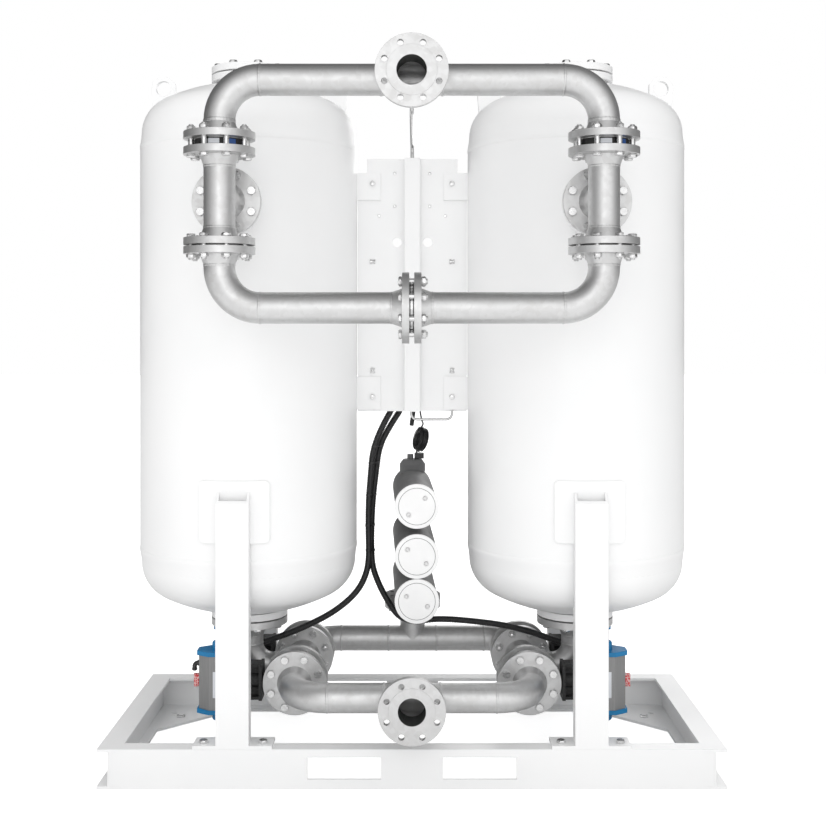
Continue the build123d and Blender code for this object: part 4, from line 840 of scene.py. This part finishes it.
def cable_sleeve(line):
    """A thicker ribbed sleeve over the start of the cable, under the cabinet."""
    points, _ = evenly(line[SLEEVE_START:SLEEVE_END], SLEEVE_STEP)

    def radius_at(number):
        return SLEEVE_RADIUS if number % SLEEVE_RIB_POINTS < SLEEVE_RIB_POINTS / 2 else SLEEVE_GROOVE

    bm = bmesh.new()
    add_sweep(bm, points, circle(SLEEVE_SIDES), radius_at)
    return make_piece("cable_sleeve", bm, "black_rubber")


def sensor_cable():
    """The cable from the cabinet's gland through its tied coil to the sensor, in one run."""
    winding = coil_points()
    lead_out = Vector((SENSOR.x, SENSOR.y, (winding[-1].z + SENSOR.z) / 2))
    points = metres(CABLE_START) + winding + [lead_out, SENSOR]
    piece = route_curve("sensor_cable_run", points, CABLE_RADIUS)
    piece.data.materials.append(FINISHES["black_plastic"])
    line, length = smooth_line(points, CABLE_STEP)
    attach(piece, "root")
    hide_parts("sensor_cable", "sensor_coil")
    sleeve = cable_sleeve(line)


def conduit_ties(left_line, right_line):
    """Nylon ties round both conduits where they run side by side."""
    bm = bmesh.new()
    upwards = unit(2)
    for height in TIE_HEIGHTS:
        near = min(left_line, key=lambda p: abs(p.z - height))
        far = min(right_line, key=lambda p: abs(p.z - height) + 10 * max(0, p.x))
        centre = (near + far) / 2
        across = far - near
        reach = across.length / 2 + CONDUIT_RADIUS + TIE_END_GAP
        across.normalize()
        up = upwards.cross(across).normalized()
        half_depth = CONDUIT_RADIUS + TIE_SIDE_GAP
        add_band(bm, centre, upwards, across * reach, up * half_depth, TIE_HALF_WIDTH, TIE_THICK)
        lock = centre + up * -(CONDUIT_RADIUS + TIE_LOCK_REACH)
        add_block(bm, along(upwards, lock), TIE_LOCK_SIZE, TIE_LOCK_EDGE)
    make_piece("conduit_ties", bm, "black_plastic")


def coil_ties():
    """Two ties round the coil's turns, and the pale tail of one."""
    bm = bmesh.new()
    axis = coil_axes()[2]
    for turn in COIL_TIE_TURNS:
        centre = coil_place(turn, 0, 0)
        outward = (centre - COIL_CENTRE).normalized()
        across = axis * COIL_TIE_HALF_LENGTH
        up = outward * COIL_TIE_HALF_DEPTH
        add_band(bm, centre, outward.cross(axis), across, up, COIL_TIE_HALF_WIDTH, COIL_TIE_THICK)
    make_piece("coil_ties", bm, "black_plastic")
    start = coil_place(COIL_TIE_TURNS[0], TAIL_START_OUT, TAIL_START_ALONG)
    points, _ = evenly([start + step for step in metres(TIE_TAIL)], TAIL_STEP)
    bm = bmesh.new()
    add_sweep(bm, points, TAIL_SHAPE, lambda number: TAIL_HALF_WIDTH)
    make_piece("coil_tie_tail", bm, "white_plastic", NATURAL)


left_line = conduit("left_conduit_skin", LEFT_CONDUIT)
right_line = conduit("right_conduit_skin", RIGHT_CONDUIT)
sensor_cable()
conduit_ties(left_line, right_line)
coil_ties()


# Welds
def add_bead(bm, centre, axis, seed):
    """A rippled bead round a pipe."""
    rng = random.Random(seed)
    place = along(axis, centre)
    steps = int(2 * math.pi * PIPE_RADIUS / BEAD_STEP)
    rings = []
    for number, turn in enumerate(turns(steps)):
        out = heading(turn)
        ripple = BEAD_RIPPLE * math.sin(number * BEAD_RIPPLE_TURN)
        swell = 1 + ripple + rng.uniform(-BEAD_UNEVENNESS, BEAD_UNEVENNESS)
        drift = rng.uniform(-BEAD_DRIFT, BEAD_DRIFT)
        ring = []
        for share in BEAD_SHARES:
            lift = BEAD_HEIGHT * swell * (1 - share * share) - BEAD_SINK
            level = drift + share * BEAD_HALF_WIDTH * swell
            ring.append(bm.verts.new(place @ (out * (PIPE_RADIUS + lift) + Vector((0, 0, level)))))
        rings.append(ring)
    for low, high in zip(rings, rings[1:] + rings[:1]):
        for edge in range(len(BEAD_SHARES) - 1):
            bm.faces.new((low[edge], low[edge + 1], high[edge + 1], high[edge]))


def pipe_bead_places():
    """Where one welded fitting ends and the next begins: centre and axis of each bead."""
    x_axis, y_axis, z_axis = (1, 0, 0), (0, 1, 0), (0, 0, 1)
    places = []
    for side in SIDES:
        x = side * VESSEL_X
        bend_x = side * (VESSEL_X - LONG_BEND)
        places += [
            ((x, MANIFOLD_Y, RISER_FACE + FLANGE_HEIGHT), z_axis),
            ((x, MANIFOLD_Y, OUTLET_Z - LONG_BEND), z_axis),
            ((bend_x, MANIFOLD_Y, OUTLET_Z), x_axis),
            ((side * TEE_REACH, MANIFOLD_Y, OUTLET_Z), x_axis),
            ((x, MANIFOLD_Y, NOZZLE_Z + TEE_REACH), z_axis),
            ((x, MANIFOLD_Y, NOZZLE_Z - TEE_REACH), z_axis),
            ((x, MANIFOLD_Y + TEE_REACH, NOZZLE_Z), y_axis),
            ((x, MANIFOLD_Y, PURGE_FACE - FLANGE_HEIGHT), z_axis),
            ((bend_x, MANIFOLD_Y, PURGE_Z), x_axis),
            ((side * (ORIFICE_FACE + FLANGE_HEIGHT), MANIFOLD_Y, PURGE_Z), x_axis),
            ((x, 0, LOW_Z + SHORT_BEND), z_axis),
            ((x, 0, REDUCER_TOP - REDUCER_CONE), z_axis),
            ((side * (VALVE_X + TEE_REACH), 0, LOW_Z), x_axis),
        ]
        for row in SIDES:
            places += [
                ((side * VALVE_X, row * TEE_REACH, LOW_Z), y_axis),
                ((side * VALVE_X, row * (HEADER_FACE + FLANGE_HEIGHT), LOW_Z), y_axis),
                ((side * (VALVE_X - LONG_BEND), row * HEADER_Y, LOW_Z), x_axis),
                ((side * TEE_REACH, row * HEADER_Y, LOW_Z), x_axis),
            ]
    places += [
        ((0, MANIFOLD_Y - TEE_REACH, OUTLET_Z), y_axis),
        ((0, -HEADER_Y - TEE_REACH, LOW_Z), y_axis),
        ((0, HEADER_Y, LOW_Z + TEE_REACH), z_axis),
    ]
    return places


def pipe_welds():
    bm = bmesh.new()
    for number, (centre, axis) in enumerate(pipe_bead_places()):
        add_bead(bm, centre, axis, number)
    make_piece("pipe_weld_beads", bm, "galvanised_steel", angle=60)


def vessel_welds():
    """The welds between shells and heads: flat beads that taper off onto the narrower heads."""
    bm = bmesh.new()
    profile = [(VESSEL_RADIUS + lift, level) for lift, level in SEAM_PROFILE]
    for side in SIDES:
        for height, outward in ((LOWER_SEAM, -1), (UPPER_SEAM, 1)):
            add_hoop(bm, along((0, 0, outward), (side * VESSEL_X, 0, height)), profile, SEAM_SIDES)
    make_piece("vessel_weld_beads", bm, "white_paint", angle=60)


pipe_welds()
vessel_welds()


# Bolts and nuts
def islands(node):
    """The separate solids of a node, each as its corner points."""
    mesh = nodes[node].data
    welded = {}
    merged = [welded.setdefault(tuple(round(c, 5) for c in v.co), v.index) for v in mesh.vertices]
    parent = list(range(len(merged)))

    def root(index):
        while parent[index] != index:
            parent[index] = parent[parent[index]]
            index = parent[index]
        return index

    for face in mesh.polygons:
        first = root(merged[face.vertices[0]])
        for vertex in face.vertices[1:]:
            parent[root(merged[vertex])] = first
    groups = {}
    for index in set(merged):
        groups.setdefault(root(index), []).append(mesh.vertices[index].co.copy())
    return list(groups.values())


def box_of(points):
    low = Vector([min(p[i] for p in points) for i in range(3)])
    high = Vector([max(p[i] for p in points) for i in range(3)])
    return low, high


def add_hexagon(bm, place, radius, height, chamfer):
    """A hexagon with its corners chamfered at both ends, as turned bolt heads and nuts have."""
    flat = radius * math.cos(math.radians(30))
    end = HEX_END * flat
    levels = ((0, end, 0), (chamfer, math.inf, 1), (height - chamfer, math.inf, -1), (height, end, 0))
    rings = []
    for level, limit, slant in levels:
        ring = []
        for turn in turns(HEX_SIDES):
            local = (turn + math.pi / 6) % (math.pi / 3) - math.pi / 6
            reach = flat / math.cos(local)
            depth = slant * chamfer * (reach - flat) / (radius - flat)
            ring.append(bm.verts.new(round_point(place, turn, min(reach, limit), level + depth)))
        rings.append(ring)
    add_solid(bm, rings)


def add_thread(bm, place, length):
    """A screw thread that starts at the place and ends in a chamfered tip."""
    steps = max(THREAD_POINTS, int(length / THREAD_PITCH * THREAD_POINTS))
    rings = []
    for step in range(steps + 1):
        height = length * step / steps
        tip = max(0, height - (length - THREAD_PITCH)) * TIP_TAPER
        ring = []
        for number, turn in enumerate(turns(SHANK_SIDES)):
            wave = abs(((height / THREAD_PITCH - number / SHANK_SIDES) % 1) * 2 - 1)
            reach = SHANK_RADIUS - THREAD_DEPTH * wave - tip
            ring.append(bm.verts.new(round_point(place, turn, reach, height)))
        rings.append(ring)
    add_solid(bm, rings)


def bolt_axis(points):
    """The end under the head, the direction from head to tip, the length and the head's radius."""
    low, high = box_of(points)
    size = high - low
    longest = max(range(3), key=lambda i: size[i])
    middle = (low + high) / 2
    others = [i for i in range(3) if i != longest]

    def spread(end):
        near = [p for p in points if abs(p[longest] - end) < END_TOLERANCE]
        return max((sum((p[i] - middle[i]) ** 2 for i in others) ** 0.5 for p in near), default=0)

    head_low = spread(low[longest]) >= spread(high[longest])
    start = middle.copy()
    start[longest] = low[longest] if head_low else high[longest]
    head = max(spread(low[longest]), spread(high[longest]))
    return start, unit(longest, 1 if head_low else -1), size[longest], head


def add_small_bolt(bm, place, length):
    """A round-headed bolt with its nut at the far end."""
    add_lathe(bm, place, SMALL_HEAD, 24)
    add_lathe(bm, place, [(SMALL_SHANK_RADIUS, SMALL_HEX_HEIGHT), (SMALL_SHANK_RADIUS, length)], SHANK_SIDES)
    nut = place @ Matrix.Translation((0, 0, length - SMALL_HEX_HEIGHT))
    add_hexagon(bm, nut, SMALL_HEX_RADIUS, SMALL_HEX_HEIGHT, SMALL_HEX_CHAMFER)


def add_bolt(bm, place, length):
    """A hexagon-headed bolt, threaded at its end."""
    add_hexagon(bm, place, HEX_RADIUS, HEAD_HEIGHT, HEX_CHAMFER)
    thread = min(THREAD_LENGTH, length * THREAD_SHARE)
    plain_end = length - thread
    add_lathe(bm, place, [(SHANK_RADIUS, SHANK_START), (SHANK_RADIUS, plain_end)], SHANK_SIDES)
    add_thread(bm, place @ Matrix.Translation((0, 0, plain_end)), thread)


def dress_bolts():
    """Bolts in the model's own places, each turned at random about its axis."""
    large = bmesh.new()
    small = bmesh.new()
    rng = random.Random(BOLT_SEED)
    for points in islands("bolts"):
        start, direction, length, head = bolt_axis(points)
        place = along(direction, start, rng.uniform(0, math.pi))
        if head < SMALL_HEAD_LIMIT:
            add_small_bolt(small, place, length)
        else:
            add_bolt(large, place, length)
    piece = make_piece("bolt_set", large, "zinc_plate", angle=35)
    make_piece("panel_bolt_set", small, "zinc_plate", angle=35)
    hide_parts("bolts")


def dress_nuts():
    """Nuts in the model's own places, each turned at random about its axis."""
    bm = bmesh.new()
    rng = random.Random(NUT_SEED)
    for points in islands("nuts"):
        low, high = box_of(points)
        size = high - low
        shortest = min(range(3), key=lambda i: size[i])
        start = (low + high) / 2
        start[shortest] = low[shortest]
        place = along(unit(shortest), start, rng.uniform(0, math.pi))
        add_hexagon(bm, place, HEX_RADIUS, size[shortest], HEX_CHAMFER)
    piece = make_piece("nut_set", bm, "zinc_plate", angle=35)
    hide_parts("nuts")


dress_bolts()
dress_nuts()


# Small fittings
def bore_shade_sleeves():
    """A dull, near-black grey sleeve inside the inlet's and the outlet's bores, up to their tees: painted
    shade where the bores lie in shadow.
    """
    bm = bmesh.new()
    inner, outer, end = SHADE_SLEEVE_INNER, SHADE_SLEEVE_OUTER, SHADE_SLEEVE_DEPTH
    section = ((inner, 0.0), (inner, end), (outer, end), (outer, 0.0))
    for y, z in ((MANIFOLD_Y - FITTING_REACH, OUTLET_Z), (-HEADER_Y - FITTING_REACH, LOW_Z)):
        rings = []
        for radius, depth in section:
            ring = []
            for turn in turns(SHADE_SLEEVE_SIDES):
                ring.append(bm.verts.new((radius * math.cos(turn), y + depth, z + radius * math.sin(turn))))
            rings.append(ring)
        add_skin(bm, rings, closed=True)
    make_piece("bore_shade_sleeves", bm, "galvanised_steel", BORE_SHADE_GREY)


def turned_stack():
    """The silencers' small turn on their flange."""
    riser = Vector((0, HEADER_Y, 0))
    return Matrix.Translation(riser) @ Matrix.Rotation(STACK_TURN, 4, "Z") @ Matrix.Translation(-riser)


def cover_details():
    """The cord in each silencer cover's groove, and the socket screws in its pockets."""
    cords = bmesh.new()
    screws = bmesh.new()
    face = DRUM_FRONT - COVER_THICK
    inner = GROOVE_RADIUS - GROOVE_CORD_HALF
    outer = GROOVE_RADIUS + GROOVE_CORD_HALF
    section = [(inner, 0), (outer, 0), (outer, GROOVE_CORD_HEIGHT), (inner, GROOVE_CORD_HEIGHT)]
    for height, angle in zip(DRUM_HEIGHTS, COVER_SCREW_ANGLES):
        groove = along((0, -1, 0), (0, face + GROOVE_CORD_DEPTH, height))
        add_hoop(cords, turned_stack() @ groove, section, 64)
        turn = math.radians(angle)
        for side in SIDES:
            x = side * COVER_SCREW_RADIUS * math.cos(turn)
            z = height + side * COVER_SCREW_RADIUS * math.sin(turn)
            pocket = along((0, -1, 0), (x, face + POCKET_DEPTH, z))
            add_lathe(screws, turned_stack() @ pocket, COVER_SCREW, 24)
    make_piece("cover_cords", cords, "grey_paint")
    make_piece("cover_screws", screws, "zinc_plate")


def panel_screws():
    """Small screws that hold the channel's cover and the cabinet's plate to the panel."""
    bm = bmesh.new()
    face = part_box("carrier_panel")[0][1]
    for x, height in PANEL_SCREW_PLACES:
        for side in SIDES:
            add_lathe(bm, along((0, -1, 0), (side * x, face, height)), PANEL_SCREW, 20)
    make_piece("panel_screws", bm, "zinc_plate")


def spare_socket():
    """A capped spare socket on its stub, under the cabinet."""
    bm = bmesh.new()
    top = Vector((SOCKET_TOP_X, SOCKET_END.y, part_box("control_cabinet")[0][2]))
    length = (SOCKET_END - top).length
    start = length - SOCKET_LENGTH
    profile = [(SOCKET_STUB, -SOCKET_SINK), (SOCKET_STUB, start), (SOCKET_RADIUS, start + SOCKET_CHAMFER)]
    for number in range(SOCKET_RIBS):
        level = start + SOCKET_PLAIN + SOCKET_RIB_PITCH * number
        profile += [(radius, level + rise) for radius, rise in SOCKET_RIB]
    profile.append((SOCKET_TIP, length))
    add_lathe(bm, along(SOCKET_END - top, top), profile, 24)
    make_piece("spare_socket", bm, "black_rubber")


def actuator_plates():
    """A bare metal plate on the outer face of each actuator."""
    bm = bmesh.new()
    for side in SIDES:
        for row in SIDES:
            y = row * (VALVE_Y + ACTUATOR_DEPTH / 2)
            place = Matrix.Translation((side * ACTUATOR_PLATE_X, y, ACTUATOR_PLATE_Z))
            add_block(bm, place, ACTUATOR_PLATE_SIZE, ACTUATOR_PLATE_EDGE)
    make_piece("actuator_plates", bm, "stainless_steel", BARE_PLATE)


def push_in_elbow():
    """The air fitting on the left front actuator: a collar, a bend and its release ring."""
    bm = bmesh.new()
    start = Vector((-ACTUATOR_END, -VALVE_Y, ELBOW_Z))
    add_lathe(bm, along((-1, 0, 0), start), ELBOW_COLLAR, 24)
    bend = []
    for number in range(ELBOW_STEPS + 1):
        turn = math.radians(90) * number / ELBOW_STEPS
        out = -ELBOW_REACH - ELBOW_BEND * math.sin(turn)
        down = -ELBOW_BEND * (1 - math.cos(turn))
        bend.append(start + Vector((out, 0, down)))
    bend.append(bend[-1] + Vector((0, 0, -ELBOW_DROP)))
    points, _ = evenly(bend, ELBOW_STEP)
    add_sweep(bm, points, circle(20), lambda number: ELBOW_RADIUS)
    add_lathe(bm, along((0, 0, -1), bend[-1]), ELBOW_RELEASE, 24)
    make_piece("push_in_elbow", bm, "black_plastic")


def check_valve_plates(name, middle, material):
    """A plate on each check valve's rim, seen between its studs."""
    bm = bmesh.new()
    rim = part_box("check_valve_bodies")
    radius = (rim[1][0] - rim[0][0]) / 2 - VESSEL_X + RIM_PLATE_GAP
    high = RIM_PLATE_HALF_HEIGHT
    section = ((0, -high), (RIM_PLATE_THICK, -high), (RIM_PLATE_THICK, high), (0, high))
    first = middle - RIM_PLATE_HALF_ANGLE
    for side in SIDES:
        centre = Vector((side * VESSEL_X, MANIFOLD_Y, CHECK_VALVE_Z))
        rings = []
        for step in range(RIM_PLATE_STEPS + 1):
            out = heading(math.radians(first + 2 * RIM_PLATE_HALF_ANGLE * step / RIM_PLATE_STEPS))
            points = [centre + out * (radius + lift) + Vector((0, 0, level)) for lift, level in section]
            rings.append([bm.verts.new(point) for point in points])
        add_solid(bm, rings)
    make_piece(name, bm, "stainless_steel", material)


bore_shade_sleeves()
cover_details()
panel_screws()
spare_socket()
actuator_plates()
push_in_elbow()
check_valve_plates("check_valve_blank_plates", -94, BARE_PLATE)
check_valve_plates("check_valve_blue_plates", -55, BLUE_PLATE)
